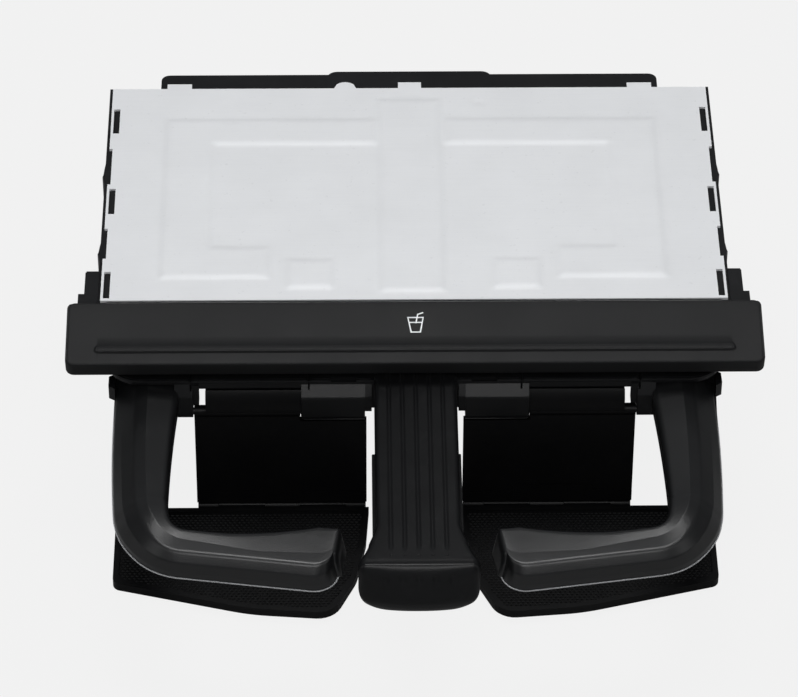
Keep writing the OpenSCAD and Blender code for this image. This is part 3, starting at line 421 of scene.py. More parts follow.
def bow(y, t):
    """How far the leg and the elbow bend in from a straight outer edge."""
    share = min(BOW_MOST, max(0.0, (BOW_START_Y - y) / BOW_L))
    return BOW * share ** 2 * (1 - smooth((t - 0.4) / 0.25))


def arm_stations():
    """Stations along the arm: outer edge, direction in, share of the way, width cut off, share of the end."""
    start, end = Vector((-ARM_OUTER, LEG_START_Y)), Vector((-ARM_OUTER, ELBOW_Y))
    elbow = Vector((-ARM_OUTER + ELBOW_R, ELBOW_Y))
    stop = math.radians(270) - HOOK_LEAN
    hook = elbow + ELBOW_R * Vector((math.cos(stop), math.sin(stop)))
    out = [(start.lerp(end, i / LEG_STEPS), Vector((1, 0)), LEG_END * i / LEG_STEPS, 0, 0)
           for i in range(LEG_STEPS + 1)]
    for i in range(1, ELBOW_STEPS):
        a = mix(math.pi, stop, i / ELBOW_STEPS)
        out.append((elbow + ELBOW_R * Vector((math.cos(a), math.sin(a))), -Vector((math.cos(a), math.sin(a))),
                    LEG_END + (ELBOW_END - LEG_END) * i / ELBOW_STEPS, 0, 0))
    straight = HOOK_L - TIP_R
    out += [(hook + ALONG * straight * i / HOOK_STEPS, INWARD,
             ELBOW_END + (1 - ELBOW_END) * i / HOOK_STEPS, 0, 0) for i in range(HOOK_STEPS + 1)]
    for i in range(1, TIP_STEPS + 1):
        a = math.radians(86 * i / TIP_STEPS)
        out.append((hook + ALONG * (straight + TIP_R * math.sin(a)), INWARD, 1.0, TIP_R * (1 - math.cos(a)),
                    math.sin(a)))
    return [(place + Vector((bow(place.y, t), 0)), inward, t, cut, ended)
            for place, inward, t, cut, ended in out]


def arm_width(t):
    if t < LEG_END:
        return mix(LEG_W, ELBOW_W, t / LEG_END)
    if t < ELBOW_END:
        return mix(ELBOW_W, HOOK_W, smooth((t - LEG_END) / (ELBOW_END - LEG_END)))
    return mix(HOOK_W, TIP_W, ((t - ELBOW_END) / (1 - ELBOW_END)) ** 2.2)


def rounded_path(corners, steps=8):
    """A closed outline with rounded corners, from (u, z, radius) corners."""
    out = []
    count = len(corners)
    for i, (u, z, r) in enumerate(corners):
        a = Vector(corners[i - 1][:2]) - Vector((u, z))
        c = Vector(corners[(i + 1) % count][:2]) - Vector((u, z))
        if r <= 0:
            out.append(Vector((u, z)))
            continue
        half = a.angle(c) / 2
        reach = min(r / math.tan(half), 0.48 * a.length, 0.48 * c.length)
        p, q = Vector((u, z)) + a.normalized() * reach, Vector((u, z)) + c.normalized() * reach
        for k in range(steps + 1):
            s = k / steps
            out.append(p * (1 - s) ** 2 + Vector((u, z)) * 2 * s * (1 - s) + q * s ** 2)
    return out


def arm_section(t):
    """Outer wall, crest, crease, and the facet inside it, as (in, up)."""
    w = arm_width(t)
    h = mix(CREST_LOW, CREST_HIGH, smooth(t / 0.6))
    hook = smooth((t - 0.3) / 0.35)
    return rounded_path([
        (0, GRIP_LOW, 0.4), (0.1, GRIP_LOW + 2, 1.5), (mix(2.5, 0.5, hook), h - mix(3.9, 5.3, hook), 1.6),
        (mix(6, 2.6, hook), h - mix(1.1, 2.8, hook), mix(4, 2.0, hook)),
        (on_line(CREASE, t), h - 2.7 * hook, mix(0.4, 1.2, smooth(t / 0.3))),
        (w, h - mix(1.1, 1.9, hook), 2.2), (w - 0.2, GRIP_LOW, 0.4)])


def opened(point, side, angle):
    """A point of the left arm, mirrored for the right one and turned about its pivot."""
    hub = Vector((side * PIVOT[0], PIVOT[1], 0))
    mirrored = Vector((-side * point[0], point[1], point[2]))
    return Matrix.Rotation(math.radians(angle), 4, "Z") @ (mirrored - hub) + hub


def arm_piece(name, side, body, angle, mat):
    rings = []
    for place, inward, t, cut, ended in arm_stations():
        w = arm_width(t)
        ring = []
        for p in arm_section(t):
            up = (p.y - GRIP_LOW) / (CREST_HIGH - GRIP_LOW)
            q = place + inward * mix(cut, w, p.x / w) - ALONG * (TIP_SLOPE * up * ended)
            ring.append(Vector((q.x, q.y, p.y)))
        rings.append(ring)
    # The end closes in a low dome
    last = rings[-1]
    middle = sum(last, Vector()) / len(last)
    for i in range(1, 8):
        a = math.radians(90 * i / 7)
        inset = 1 - TIP_DOME_INSET * (1 - math.cos(a))
        ahead = Vector((*ALONG, 0)) * TIP_DOME * math.sin(a)
        rings.append([Vector((mix(middle.x, p.x, inset), mix(middle.y, p.y, inset),
                              mix(GRIP_LOW, p.z, inset))) + ahead for p in last])
    verts, faces = loft(rings)
    obj = make_object(name, [opened(v, side, angle) for v in verts], faces, mat, 60)
    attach(obj, body)
    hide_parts(body)
    return obj


def base_outline():
    """The arm's outer edge in plan, round its tip, with the direction that points out of it."""
    out = []
    for place, inward, t, cut, ended in arm_stations():
        turn = math.asin(min(1, ended))
        out.append((place + inward * cut, (-inward * math.cos(turn) + ALONG * math.sin(turn)).normalized()))
    last = arm_stations()[-1]
    for i in range(1, 6):
        out.append((last[0] + INWARD * mix(last[3], TIP_W - 0.8, i / 5), ALONG))
    return out


def arm_rim(name, side, body, angle, tree, mat):
    """Thin rim along the lower edge of the grip, given a light grey colour that paints the highlight on this
    lip.
    """
    path = [opened((p.x + RIM_OUT * n.x, p.y + RIM_OUT * n.y, GRIP_LOW + RIM_UP), side, angle)
            for p, n in base_outline()]
    obj = plain_mesh(name, line_object(name + "_path", [path]), tree, {"Radius": RIM_R * MM, "Material": mat})
    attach(obj, body)
    return obj


def arm_plate(name, node, side, angle, mat):
    """A copy of the arm's base plate, its edge drawn in to just inside the grip's outline."""
    mesh = frame["nodes"][node].data.copy()
    obj = bpy.data.objects.new(name, mesh)
    bpy.context.scene.collection.objects.link(obj)
    beyond = 1 - PLATE_INSET
    line = [(opened((p.x - PLATE_INSET * n.x, p.y - PLATE_INSET * n.y, 0), side, angle),
             opened((p.x + beyond * n.x, p.y + beyond * n.y, 0), side, angle)) for p, n in base_outline()]
    for v in mesh.vertices:
        at = Vector((v.co.x / MM, v.co.y / MM, 0))
        if at.y > PLATE_FROM_Y:
            continue
        here, there = min(line, key=lambda pair: (pair[0] - at).length)
        over = (at - here).dot(there - here)
        if over > 0:
            at -= (there - here) * over
            v.co.x, v.co.y = at.x * MM, at.y * MM
    mesh.materials.clear()
    mesh.materials.append(mat)
    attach(obj, node.replace("_base", ""))
    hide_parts(node)
    return obj


# Bridge

NOSE_HALF, BRIDGE_HALF = 16.1, 11.4
GROOVE_PITCH, GROOVE_HALF, GROOVE_DEPTH, GROOVE_END_Y = 3.7, 0.6, 0.32, -90.4
PIP_Y, PIP_R, PIP_H = -91.9, 0.38, 0.24
NOSE_LINE_Y = -94.2
DIMPLE_PITCH, DIMPLE_Z, DIMPLE_R, DIMPLE_DEPTH = 4.41, 11.8, 1.1, 0.4


def bridge_piece(mat):
    verts, faces = rounded_block((-BRIDGE_HALF, 1.4 - REACH, 8), (BRIDGE_HALF, -8, BRIDGE_TOP), 1.5,
                                 (0.22, 0.45, 0.45))
    placed = []
    for v in verts:
        y = v.y
        flare = min(1.0, max(0.0, (-80.5 - y) / 13.5)) ** 1.15
        x = v.x * mix(BRIDGE_HALF, NOSE_HALF, flare) / BRIDGE_HALF
        side = abs(x) / NOSE_HALF
        down = (BRIDGE_TOP - v.z) / (BRIDGE_TOP - 8)
        # The nose reaches down to the underside, with rounded lower corners.
        # Over the deck only the top is left
        low = 0.6 + 5.6 * (1 - math.sqrt(1 - min(1.0, max(0.0, (abs(x) - 8.5) / 7.8)) ** 2))
        floor = mix(8, low, smooth((12.5 - REACH - y) / 0.8))
        if y > -22.6:
            floor = 14
        elif down > 0.9999 and abs(x) < 10.3 and y > 8.2 - REACH:
            floor = 12.62
        z = BRIDGE_TOP - down * (BRIDGE_TOP - floor)
        # The front slopes out from a straight top edge to a full, convex face
        full = smooth((10 - REACH - y) / 8)
        fall = min(1.0, (BRIDGE_TOP - z) / 9.5)
        slope = -3.2 * fall + 0.9 * smooth((5.2 - z) / 5)
        y += full * (slope + 2.4 * fall ** 0.6 * side ** 2.4 + mix(0.9, 0.3, fall))
        if v.z > BRIDGE_TOP - 1.2:
            for i in range(-2, 3):
                # Shallow grooves that stop short of the nose
                d = abs(x - i * GROOVE_PITCH) / GROOVE_HALF
                if d < 1:
                    z -= GROOVE_DEPTH * (1 - d * d) * smooth((y - GROOVE_END_Y) / 2.5)
            # The nose begins past a soft, shallow line
            z -= 0.05 * max(0.0, 1 - ((y - NOSE_LINE_Y) / 0.7) ** 2)
        placed.append(Vector((x, y, z)))
    # Shallow dimples across the nose
    for p in placed:
        if p.y < 3 - REACH and 9.5 < p.z < 13.4:
            for i in range(-2, 3):
                d = math.hypot(p.x - i * DIMPLE_PITCH, p.z - DIMPLE_Z) / DIMPLE_R
                if d < 1:
                    p.y += DIMPLE_DEPTH * (1 - d * d)
    obj = make_object("ribbed_bridge", placed, faces, mat, 50)
    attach(obj, "drawer")
    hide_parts("bridge_cover")
    # A small pip ahead of the end of each groove
    verts, faces = [], []
    for i in range(-2, 3):
        rings = []
        for k in range(5):
            a = math.radians(20 * k)
            out, up = PIP_R * math.cos(a), BRIDGE_TOP - 0.04 + PIP_H * math.sin(a)
            rings.append([Vector((i * GROOVE_PITCH + out * math.cos(b), PIP_Y + out * math.sin(b), up))
                          for b in (math.radians(30 * j) for j in range(12))])
        add_part(verts, faces, loft(rings))
    pips = make_object("bridge_pips", verts, faces, mat, 60)
    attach(pips, "drawer")
    return obj


# Drawer front

DECK_BEAD_R, BRACKET_BEAD_R = 0.6, 0.2
BRACKET_FRONT = -25.1


def drawer_beads(tree, mat):
    """Rounded edges along the deck's front and round the two brackets."""
    y, z = DECK_FRONT + 0.5, DECK_TOP - 0.5
    slits = (BRACKET[1] - 2.1, PANEL_OUT + 0.8)
    edges = []
    for side in (-1, 1):
        notch = (16.3, 23.3) if side < 0 else (15.6, 22.6)
        corner = [(DECK_X - 10 + 9.5 * math.sin(a), y + 9.5 * (1 - math.cos(a)))
                  for a in (math.radians(90 * i / 10) for i in range(11))]
        runs = [[(12.4, y), (notch[0] - 0.3, y)], [(notch[1] + 0.3, y), (slits[0] - 0.8, y)],
                [(slits[0] + 0.8, y), (slits[1] - 0.8, y)], [(slits[1] + 0.8, y)] + corner]
        edges += [[(side * a, b, z) for a, b in run] for run in runs]
        edges.append([(side * notch[0], y + 1.2, z - 0.6), (side * notch[1], y + 1.2, z - 0.6)])
    deck = plain_mesh("deck_edge", line_object("deck_path", edges), tree,
                      {"Radius": DECK_BEAD_R * MM, "Material": mat})
    front = BRACKET_FRONT
    lines = []
    for side in (-1, 1):
        lines.append([(side * BRACKET[1], front, 9.2), (side * BRACKET[1], front, 2.4),
                      (side * (BRACKET[1] - 0.8), front + 0.2, 1.7), (side * BRACKET[0], front + 0.2, 1.7)])
    bracket = plain_mesh("bracket_edge", line_object("bracket_path", lines), tree,
                         {"Radius": BRACKET_BEAD_R * MM, "Material": mat})
    for obj in (deck, bracket):
        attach(obj, "drawer")


def drawer_shade_skirt(mat):
    """A thin dark skirt from the deck's lip down to each panel's barrel: painted shade, a dark sheet put
    where the shadow under the deck falls.
    """
    verts, faces = [], []
    profile = [(-22.7, 10.7), (-24.6, 8.5), (-25.0, 4.7), (-24.7, 4.7), (-24.3, 8.4), (-22.4, 10.4)]
    for side in (-1, 1):
        ends = (BRACKET[1] - 0.3, LEDGE_X)
        add_part(verts, faces, loft([[Vector((side * x, y, z)) for y, z in profile] for x in ends]))
    obj = make_object("drawer_shade_skirt", verts, faces, mat, 50)
    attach(obj, "drawer")
    return obj


# Flap

RIDGE_Y, RIDGE_X, RIDGE_H = -16.9, 87.1, 0.75
RIDGE_REAR, RIDGE_FRONT = 2.2, 0.9


def flap_skin(mat):
    """The face and lip as one bent section with rounded edges, corners and ends, and the raised ridge."""
    proud, edge, corner = 0.08, 0.9, 2.4
    half, front, inner, rear = FLAP_HALF + proud, -FLAP_L - 0.75, -FLAP_L + FLAP_T - proud, proud
    ridge = [RIDGE_Y + RIDGE_REAR * k / 8 for k in range(8, 0, -1)]
    ridge += [RIDGE_Y - RIDGE_FRONT * k / 8 for k in range(9)]
    top = [(rear, 0.9)] + [(y, 0) for y in (-4, -8, -12)] + [(y, 0) for y in ridge] + [(front, 0.75)]
    section = rounded_path([(rear, -FLAP_T - proud, 0.9)] + [(y, proud, r) for y, r in top]
                           + [(front, -FLAP_LIP - proud, 0.9), (inner, -FLAP_LIP - proud, 0.8),
                              (inner + 0.3, -FLAP_T - proud, 1.0)], 6)
    turns = [math.radians(15 * i) for i in range(7)]
    stations = [(-half + edge * (1 - math.cos(a)), edge * (1 - math.sin(a))) for a in turns]
    xs = [-half + edge + 0.3 * i for i in range(1, 6)] + [-88.7 + 0.2 * i for i in range(15)]
    xs = sorted(xs + [-80 + 10 * i for i in range(17)] + [-x for x in xs])
    stations += [(x, 0) for x in xs] + [(-x, inset) for x, inset in reversed(stations)]
    tilt = math.radians(FLAP_TILT)
    rings = []
    for x, inset in stations:
        beside = max(0.0, abs(x) - (half - corner))
        back = corner - math.sqrt(max(0.0, corner ** 2 - beside ** 2)) if beside < corner else corner
        ring = []
        for p in section:
            share = (p.x - front) / (rear - front)
            y = p.x + back * (1 if share < 0.13 else mix(1, -1, (share - 0.13) / 0.87))
            z = p.y
            # The ridge rises gently from the rear and falls steeply to the front
            away = (p.x - RIDGE_Y) / (RIDGE_REAR if p.x > RIDGE_Y else RIDGE_FRONT)
            d = math.hypot(max(0.0, abs(x) - RIDGE_X) / 1.3, away)
            if p.y > 0 and d < 1:
                z += RIDGE_H * (1 - d * d)
            z -= inset if p.y > -0.5 else 0
            ring.append(Vector((x, FLAP_REAR[0] + y * math.cos(tilt) - z * math.sin(tilt),
                                FLAP_REAR[1] + y * math.sin(tilt) + z * math.cos(tilt))))
        rings.append(ring)
    verts, faces = loft(rings)
    obj = make_object("flap_face", verts, faces, mat, 40)
    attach(obj, "flap")
    return obj


# Steel cover

BANDS = [
    [(-71.5, 9), (-40.4, 9), (-40.4, 22.7), (-57, 22.7), (-57, 68), (-9.5, 68), (-9.5, 80), (-71.5, 80)],
    [(71.5, 9), (40.4, 9), (40.4, 22.7), (57, 22.7), (57, 68), (9.5, 68), (9.5, 80), (71.5, 80)],
    [(-35.8, 4.5), (-22.3, 4.5), (-22.3, 17.2), (-35.8, 17.2)],
    [(22.3, 4.5), (35.8, 4.5), (35.8, 17.2), (22.3, 17.2)],
    [(-9.6, 3), (9, 3), (9, 89), (-9.6, 89)],
]
SLOT_Y, SLOT_L = (6.6, 43, 79.4), 11.2
SLOT_X = (85.0, 86.8)
CLIP_Y, CLIP_L = (24.44, 58.65), (13.04, 16.07)
CLIP_NOTCH = 0.9
# Rear tabs, as left end, right end and length. The last of them, left of the middle, is round
TABS = [(-3.4, 3.4, 2.7), (64.3, 71.5, 2.2), (-71.5, -64.3, 2.2), (-22.3, -15.8, 2.9)]
LONGEST_TAB = 2.9
ROUND_TAB_X, ROUND_TAB_R = -19.05, 3.25
DENT_X, DENT_Y, DENT_R, DENT_DEPTH = 20, 88, 2.2, 0.35
GRID_STEP = 0.85
# How far below the top the turned-down front edge starts and ends
HEM_TOP, HEM_FOOT = 0.4, 1.9


def inside_depth(p, outline):
    """Distance from a point to an outline: positive inside, negative outside."""
    best, inside = 1e9, False
    count = len(outline)
    for i in range(count):
        (ax, ay), (bx, by) = outline[i], outline[(i + 1) % count]
        ex, ey = bx - ax, by - ay
        s = max(0.0, min(1.0, ((p[0] - ax) * ex + (p[1] - ay) * ey) / (ex * ex + ey * ey)))
        best = min(best, math.hypot(p[0] - ax - s * ex, p[1] - ay - s * ey))
        if (ay > p[1]) != (by > p[1]) and p[0] < (bx - ax) * (p[1] - ay) / (by - ay) + ax:
            inside = not inside
    return best if inside else -best


def spaced(marks, step):
    """Grid lines that hit every mark, with no gap wider than step."""
    marks = sorted(set(marks))
    out = []
    for a, b in zip(marks, marks[1:]):
        count = max(1, math.ceil((b - a) / step))
        out += [a + (b - a) * i / count for i in range(count)]
    return out + [marks[-1]]


def cover_piece(mat):
    half = COVER_W / 2
    xs = [-half, half, -half + CLIP_NOTCH, half - CLIP_NOTCH]
    ys = [0, COVER_L, COVER_L + LONGEST_TAB]
    for side in (-1, 1):
        xs += [side * SLOT_X[0], side * SLOT_X[1]]
    for y in SLOT_Y:
        ys += [y - SLOT_L / 2, y + SLOT_L / 2]
    for y, l in zip(CLIP_Y, CLIP_L):
        ys += [y - l / 2, y + l / 2]
    for low, high, reach in TABS:
        xs += [low, high]
        ys += [COVER_L + reach]
    xs, ys = spaced(xs, GRID_STEP), spaced(ys, GRID_STEP)

    def kept(x, y):
        if y > COVER_L:
            return any(a < x < b and y < COVER_L + reach for a, b, reach in TABS)
        if SLOT_X[0] < abs(x) < SLOT_X[1] and any(abs(y - c) < SLOT_L / 2 for c in SLOT_Y):
            return False
        if abs(x) > half - CLIP_NOTCH and any(abs(y - c) < l / 2 for c, l in zip(CLIP_Y, CLIP_L)):
            return False
        return True

    def raised(x, y):
        rise = 0.0
        for band in BANDS:
            rise = max(rise, smooth((inside_depth((x, y), band) + 0.7) / 2.3))
        return rise

    verts, faces, index = [], [], {}

    def vertex(i, j, level):
        key = (i, j, level)
        if key not in index:
            x, y = xs[i], ys[j]
            lift = EMBOSS_H * raised(x, y)
            dent = DENT_DEPTH * max(0.0, 1 - math.hypot(x - DENT_X, y - DENT_Y) / DENT_R) ** 1.5
            base = CASE_H - SHEET_T if level == 0 else CASE_H
            index[key] = len(verts)
            # The round tab's grid narrows to an arc
            off = (x - ROUND_TAB_X) / ROUND_TAB_R
            if y > COVER_L and abs(off) <= 1:
                y = COVER_L + (y - COVER_L) * math.sqrt(max(0.0, 1 - off * off))
            verts.append(Vector((x, y, base + lift - dent)))
        return index[key]

    cells = {(i, j) for i in range(len(xs) - 1) for j in range(len(ys) - 1)
             if kept((xs[i] + xs[i + 1]) / 2, (ys[j] + ys[j + 1]) / 2)}
    for i, j in cells:
        square = ((i, j), (i + 1, j), (i + 1, j + 1), (i, j + 1))
        faces.append(tuple(vertex(a, b, 1) for a, b in square))
        faces.append(tuple(vertex(a, b, 0) for a, b in reversed(square)))
        for (a, b), (c, d), (di, dj) in ((square[0], square[1], (0, -1)), (square[1], square[2], (1, 0)),
                                         (square[2], square[3], (0, 1)), (square[3], square[0], (-1, 0))):
            if (i + di, j + dj) not in cells:
                faces.append((vertex(a, b, 1), vertex(a, b, 0), vertex(c, d, 0), vertex(c, d, 1)))
    hem = len(verts)
    for x in (-DECK_X, DECK_X):
        for y, drop in ((0, HEM_FOOT), (0, HEM_TOP), (SHEET_T, HEM_TOP), (SHEET_T, HEM_FOOT)):
            verts.append(Vector((x, y, CASE_H - drop)))
    faces += [tuple(hem + k for k in face) for face in (
        (0, 1, 2, 3), (7, 6, 5, 4), (0, 4, 5, 1), (1, 5, 6, 2), (2, 6, 7, 3), (3, 7, 4, 0))]
    obj = make_object("pressed_cover", verts, faces, mat, 45)
    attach(obj, "cassette")
    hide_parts("top_cover")
    return obj


# Side clips

def side_clips(mat):
    """Leaf springs that stand out a little from the case, each with a small rib across its middle."""
    verts, faces = [], []
    for side in (-1, 1):
        for y, l in zip(CLIP_Y, CLIP_L):
            rings = []
            for i in range(21):
                s = i / 20
                out = WALL_X + 0.75 * math.sin(math.pi * s) + 0.25 * max(0.0, 1 - abs(s - 0.5) * 14)
                at = y - l / 2 + l * s
                section = ((WALL_X - 0.02, 8), (WALL_X - 0.02, 20.4), (out - 0.25, 20.4), (out, 20),
                           (out, 8.4), (out - 0.25, 8))
                rings.append([Vector((side * x, at, z)) for x, z in section])
            add_part(verts, faces, loft(rings))
    obj = make_object("clip_leaves", verts, faces, mat, 40)
    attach(obj, "cassette")
    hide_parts("side_clips")
    return obj


# Trays

def tray_outline(inset):
    y, back = TRAY_HINGE_Y, 2.1 + inset
    inner, outer = 12.9 + inset, 84.1 - inset
    return [(inner, y - back, 0), (inner + 0.9, y - 16, 14), (inner + 3.6, y - 30, 14),
            (inner + 10 - inset * 0.3, y - 43.9 + inset, 7 - inset), (inner + 33, y - 41.9 + inset, 60),
            (outer, y - 31.7 + inset, 2.5), (outer, y - back, 0.5)]


def grain_tree():
    """Covers a flat face with small raised lozenges, in staggered rows."""
    tree = bpy.data.node_groups.new("grain_pips", "GeometryNodeTree")
    tree.interface.new_socket(name="Geometry", in_out="INPUT", socket_type="NodeSocketGeometry")
    for label, value in (("Pitch", 1.3), ("Row Pitch", 0.98), ("Pip Width", 0.95), ("Pip Height", 0.22),
                         ("Width", 76.0), ("Depth", 48.0)):
        socket = tree.interface.new_socket(name=label, in_out="INPUT", socket_type="NodeSocketFloat")
        socket.default_value = value * MM
    tree.interface.new_socket(name="Centre", in_out="INPUT", socket_type="NodeSocketVector")
    tree.interface.new_socket(name="Material", in_out="INPUT", socket_type="NodeSocketMaterial")
    tree.interface.new_socket(name="Geometry", in_out="OUTPUT", socket_type="NodeSocketGeometry")
    n = Nodes(tree)
    given, out = tree.nodes.new("NodeGroupInput"), tree.nodes.new("NodeGroupOutput")

    def count(size, pitch):
        steps = n.math("DIVIDE", given.outputs[size], given.outputs[pitch])
        return n.math("ADD", n.math("FLOOR", steps), 1.0)

    grid = n.add("GeometryNodeMeshGrid", Size_X=given.outputs["Width"], Size_Y=given.outputs["Depth"],
                 Vertices_X=count("Width", "Pitch"), Vertices_Y=count("Depth", "Row Pitch"))
    # Every second row moves half a pitch along. The 0.1 m keeps each row's number above zero
    place = n.add("GeometryNodeInputPosition")
    split = n.add("ShaderNodeSeparateXYZ", Vector=place.outputs[0])
    ahead = n.math("ADD", split.outputs["Y"], 0.1)
    row = n.math("ROUND", n.math("DIVIDE", ahead, given.outputs["Row Pitch"]))
    aside = n.math("MULTIPLY", n.math("MODULO", row, 2.0), n.math("MULTIPLY", given.outputs["Pitch"], 0.5))
    moved = n.add("GeometryNodeSetPosition", Geometry=grid.outputs["Mesh"],
                  Offset=n.add("ShaderNodeCombineXYZ", X=aside).outputs[0])
    laid = n.add("GeometryNodeTransform", Geometry=moved.outputs["Geometry"],
                 Translation=given.outputs["Centre"])
    down = n.add("GeometryNodeRaycast", Target_Geometry=given.outputs["Geometry"],
                 Source_Position=place.outputs[0], Ray_Direction=(0, 0, -1), Ray_Length=0.01)
    missed = n.tree.nodes.new("FunctionNodeBooleanMath")
    missed.operation = "NOT"
    n.put(missed, "Boolean", down.outputs["Is Hit"])
    kept = n.add("GeometryNodeDeleteGeometry", Geometry=laid.outputs["Geometry"], Selection=missed.outputs[0])
    points = n.add("GeometryNodeMeshToPoints", Mesh=kept.outputs["Geometry"])
    cone = n.add("GeometryNodeMeshCone", Vertices=4,
                 Radius_Bottom=n.math("MULTIPLY", given.outputs["Pip Width"], 0.62),
                 Radius_Top=n.math("MULTIPLY", given.outputs["Pip Width"], 0.2),
                 Depth=given.outputs["Pip Height"])
    lozenge = n.add("GeometryNodeTransform", Geometry=cone.outputs["Mesh"], Scale=(1.0, 0.8, 1.0))
    pips = n.add("GeometryNodeInstanceOnPoints", Points=points.outputs["Points"],
                 Instance=lozenge.outputs["Geometry"])
    solid = n.add("GeometryNodeRealizeInstances", Geometry=pips.outputs["Instances"])
    finish = n.add("GeometryNodeSetMaterial", Geometry=solid.outputs["Geometry"],
                   Material=given.outputs["Material"])
    n.put(out, "Geometry", finish.outputs["Geometry"])
    return tree


def bead_tree():
    """A round bead along every path of a mesh of edges."""
    tree = bpy.data.node_groups.new("edge_bead", "GeometryNodeTree")
    tree.interface.new_socket(name="Geometry", in_out="INPUT", socket_type="NodeSocketGeometry")
    socket = tree.interface.new_socket(name="Radius", in_out="INPUT", socket_type="NodeSocketFloat")
    socket.default_value = 0.5 * MM
    tree.interface.new_socket(name="Material", in_out="INPUT", socket_type="NodeSocketMaterial")
    tree.interface.new_socket(name="Geometry", in_out="OUTPUT", socket_type="NodeSocketGeometry")
    n = Nodes(tree)
    given, out = tree.nodes.new("NodeGroupInput"), tree.nodes.new("NodeGroupOutput")
    path = n.add("GeometryNodeMeshToCurve", Mesh=given.outputs["Geometry"])
    ring = n.add("GeometryNodeCurvePrimitiveCircle", Resolution=12, Radius=given.outputs["Radius"])
    tube = n.add("GeometryNodeCurveToMesh", Curve=path.outputs["Curve"], Profile_Curve=ring.outputs["Curve"],
                 Fill_Caps=True)
    solid = n.add("GeometryNodeRealizeInstances", Geometry=tube.outputs["Mesh"])
    finish = n.add("GeometryNodeSetMaterial", Geometry=solid.outputs["Geometry"],
                   Material=given.outputs["Material"])
    n.put(out, "Geometry", finish.outputs["Geometry"])
    return tree


def line_object(name, paths):
    """A mesh of edges only, from lists of points in millimetres."""
    verts, edges = [], []
    for path in paths:
        edges += [(len(verts) + i, len(verts) + i + 1) for i in range(len(path) - 1)]
        verts += [Vector(p) * MM for p in path]
    mesh = bpy.data.meshes.new(name)
    mesh.from_pydata(verts, edges, [])
    obj = bpy.data.objects.new(name, mesh)
    bpy.context.scene.collection.objects.link(obj)
    return obj


def plain_mesh(name, source, tree, values):
    """Runs a Geometry Nodes tree on a source object and keeps the result as an ordinary mesh."""
    modifier = source.modifiers.new(tree.name, "NODES")
    modifier.node_group = tree
    for item in tree.interface.items_tree:
        if item.item_type == "SOCKET" and item.in_out == "INPUT" and item.name in values:
            modifier[item.identifier] = values[item.name]
    bpy.context.view_layer.update()
    mesh = bpy.data.meshes.new_from_object(source.evaluated_get(bpy.context.evaluated_depsgraph_get()))
    source.modifiers.remove(modifier)
    mesh.name = name
    obj = bpy.data.objects.new(name, mesh)
    bpy.context.scene.collection.objects.link(obj)
    bpy.data.objects.remove(source)
    return obj


def tray_grain(name, side, body, tree, mat):
    outline = [Vector((side * p.x, p.y, TRAY_TOP - 0.4)) for p in rounded_path(tray_outline(2.0), 6)]
    field = make_object(name + "_field", outline, [tuple(range(len(outline)))], mat)
    centre = Vector((side * 48.5, -48, TRAY_TOP - 0.35)) * MM
    obj = plain_mesh(name, field, tree, {"Centre": centre, "Material": mat})
    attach(obj, body)
    return obj


# Studio

FLOOR_Z, FLOOR_HALF = -34, 3000
BACKDROP = (0.887, 0.887, 0.887, 1)


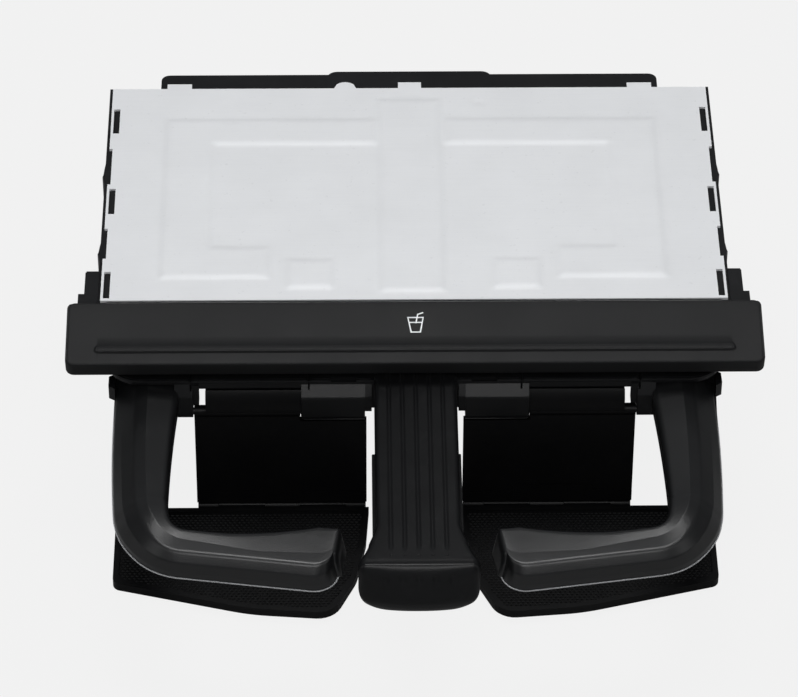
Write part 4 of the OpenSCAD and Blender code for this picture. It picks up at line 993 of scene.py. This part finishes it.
def studio():
    world = bpy.context.scene.world or bpy.data.worlds.new("world")
    bpy.context.scene.world = world
    world.use_nodes = True
    n = Nodes(world.node_tree)
    world.node_tree.nodes.clear()
    seen = n.add("ShaderNodeBackground", Color=BACKDROP, Strength=1.0)
    # The tent is bright near its foot in front and behind, dim at the sides, and even overhead
    way = n.add("ShaderNodeTexCoord").outputs["Generated"]
    split = n.add("ShaderNodeSeparateXYZ", Vector=way)
    foot = n.ramp(n.math("ABSOLUTE", split.outputs["X"]), 0.25, 0.6, 0.5, 0.05)
    light = n.add("ShaderNodeBackground", Color=(0.80, 0.82, 0.85, 1),
                  Strength=n.ramp(n.math("ABSOLUTE", split.outputs["Z"]), 0.05, 0.55, foot, 0.2))
    path = n.add("ShaderNodeLightPath")
    pick = n.tree.nodes.new("ShaderNodeMixShader")
    n.tree.links.new(path.outputs["Is Camera Ray"], pick.inputs[0])
    n.tree.links.new(light.outputs[0], pick.inputs[1])
    n.tree.links.new(seen.outputs[0], pick.inputs[2])
    out = n.tree.nodes.new("ShaderNodeOutputWorld")
    n.tree.links.new(pick.outputs[0], out.inputs["Surface"])

    mat = bpy.data.materials.new("pale_floor")
    mat.use_nodes = True
    n = Nodes(mat.node_tree)
    n.tree.nodes.clear()
    matt = n.add("ShaderNodeBsdfDiffuse", Color=(0.36, 0.36, 0.36, 1))
    plain = n.add("ShaderNodeEmission", Color=BACKDROP, Strength=1.05)
    path = n.add("ShaderNodeLightPath")
    pick = n.tree.nodes.new("ShaderNodeMixShader")
    n.tree.links.new(n.math("MULTIPLY", path.outputs["Is Camera Ray"], 0.92), pick.inputs[0])
    n.tree.links.new(matt.outputs[0], pick.inputs[1])
    n.tree.links.new(plain.outputs[0], pick.inputs[2])
    out = n.tree.nodes.new("ShaderNodeOutputMaterial")
    n.tree.links.new(pick.outputs[0], out.inputs["Surface"])
    corners = [(x * FLOOR_HALF, y * FLOOR_HALF, FLOOR_Z) for x, y in ((-1, -1), (1, -1), (1, 1), (-1, 1))]
    floor = make_object("floor", corners, [(0, 1, 2, 3)], mat)

    def softbox(name, place, aim, size, power, colour=(1, 1, 1)):
        data = bpy.data.lights.new(name, "AREA")
        data.shape = "RECTANGLE"
        data.size, data.size_y = size
        data.energy = power
        data.color = colour
        obj = bpy.data.objects.new(name, data)
        place, aim = Vector(place), Vector(aim)
        turn = (aim - place).to_track_quat("-Z", "Y").to_matrix().to_4x4()
        obj.matrix_world = Matrix.Translation(place) @ turn
        bpy.context.scene.collection.objects.link(obj)

    # Name, place, aim and size in metres, and power in watts
    softbox("top_light", (0, 0.25, 1.1), (0, -0.02, 0), (0.6, 0.36), 6)
    softbox("left_light", (-0.9, -0.35, 0.55), (0, -0.04, 0), (0.5, 0.9), 1)
    softbox("right_light", (0.9, -0.35, 0.55), (0, -0.04, 0), (0.5, 0.9), 1)
    softbox("front_light", (0, -0.75, 0.95), (0, -0.05, 0), (0.9, 0.35), 5)


def main():
    photo_camera()
    mats = make_materials()
    slots = {part["node"]: part["material_slot"] for part in frame["record"]["subparts"]}
    for node, obj in frame["nodes"].items():
        dress(obj, mats["dark_steel" if "_rod_" in node else slots[node]])
    bead = bead_tree()
    for side, hand, angle in ((-1, "left", 0), (1, "right", RIGHT_OPEN)):
        body = "arm_" + hand
        arm_piece("grip_" + hand, side, body, angle, mats["arm_plastic"])
        arm_rim("grip_rim_" + hand, side, body, angle, bead, mats["painted_highlight_rim"])
        arm_plate("grip_plate_" + hand, "arm_base_" + hand, side, angle, mats["frame_plastic"])
    drawer_beads(bead, mats["frame_plastic"])
    # A dark sheet under the deck's lip that paints the shade there
    drawer_shade_skirt(mats["panel_plastic"])
    flap_skin(mats["flap_plastic"])
    side_clips(mats["dark_steel"])
    bridge_piece(mats["bridge_plastic"])
    cover_piece(mats["cover_steel"])
    grain = grain_tree()
    tray_grain("tray_grain_left", -1, "tray_left", grain, mats["tray_plastic"])
    tray_grain("tray_grain_right", 1, "tray_right", grain, mats["tray_plastic"])
    studio()
    scene = bpy.context.scene
    scene.view_settings.view_transform = "Standard"


main()
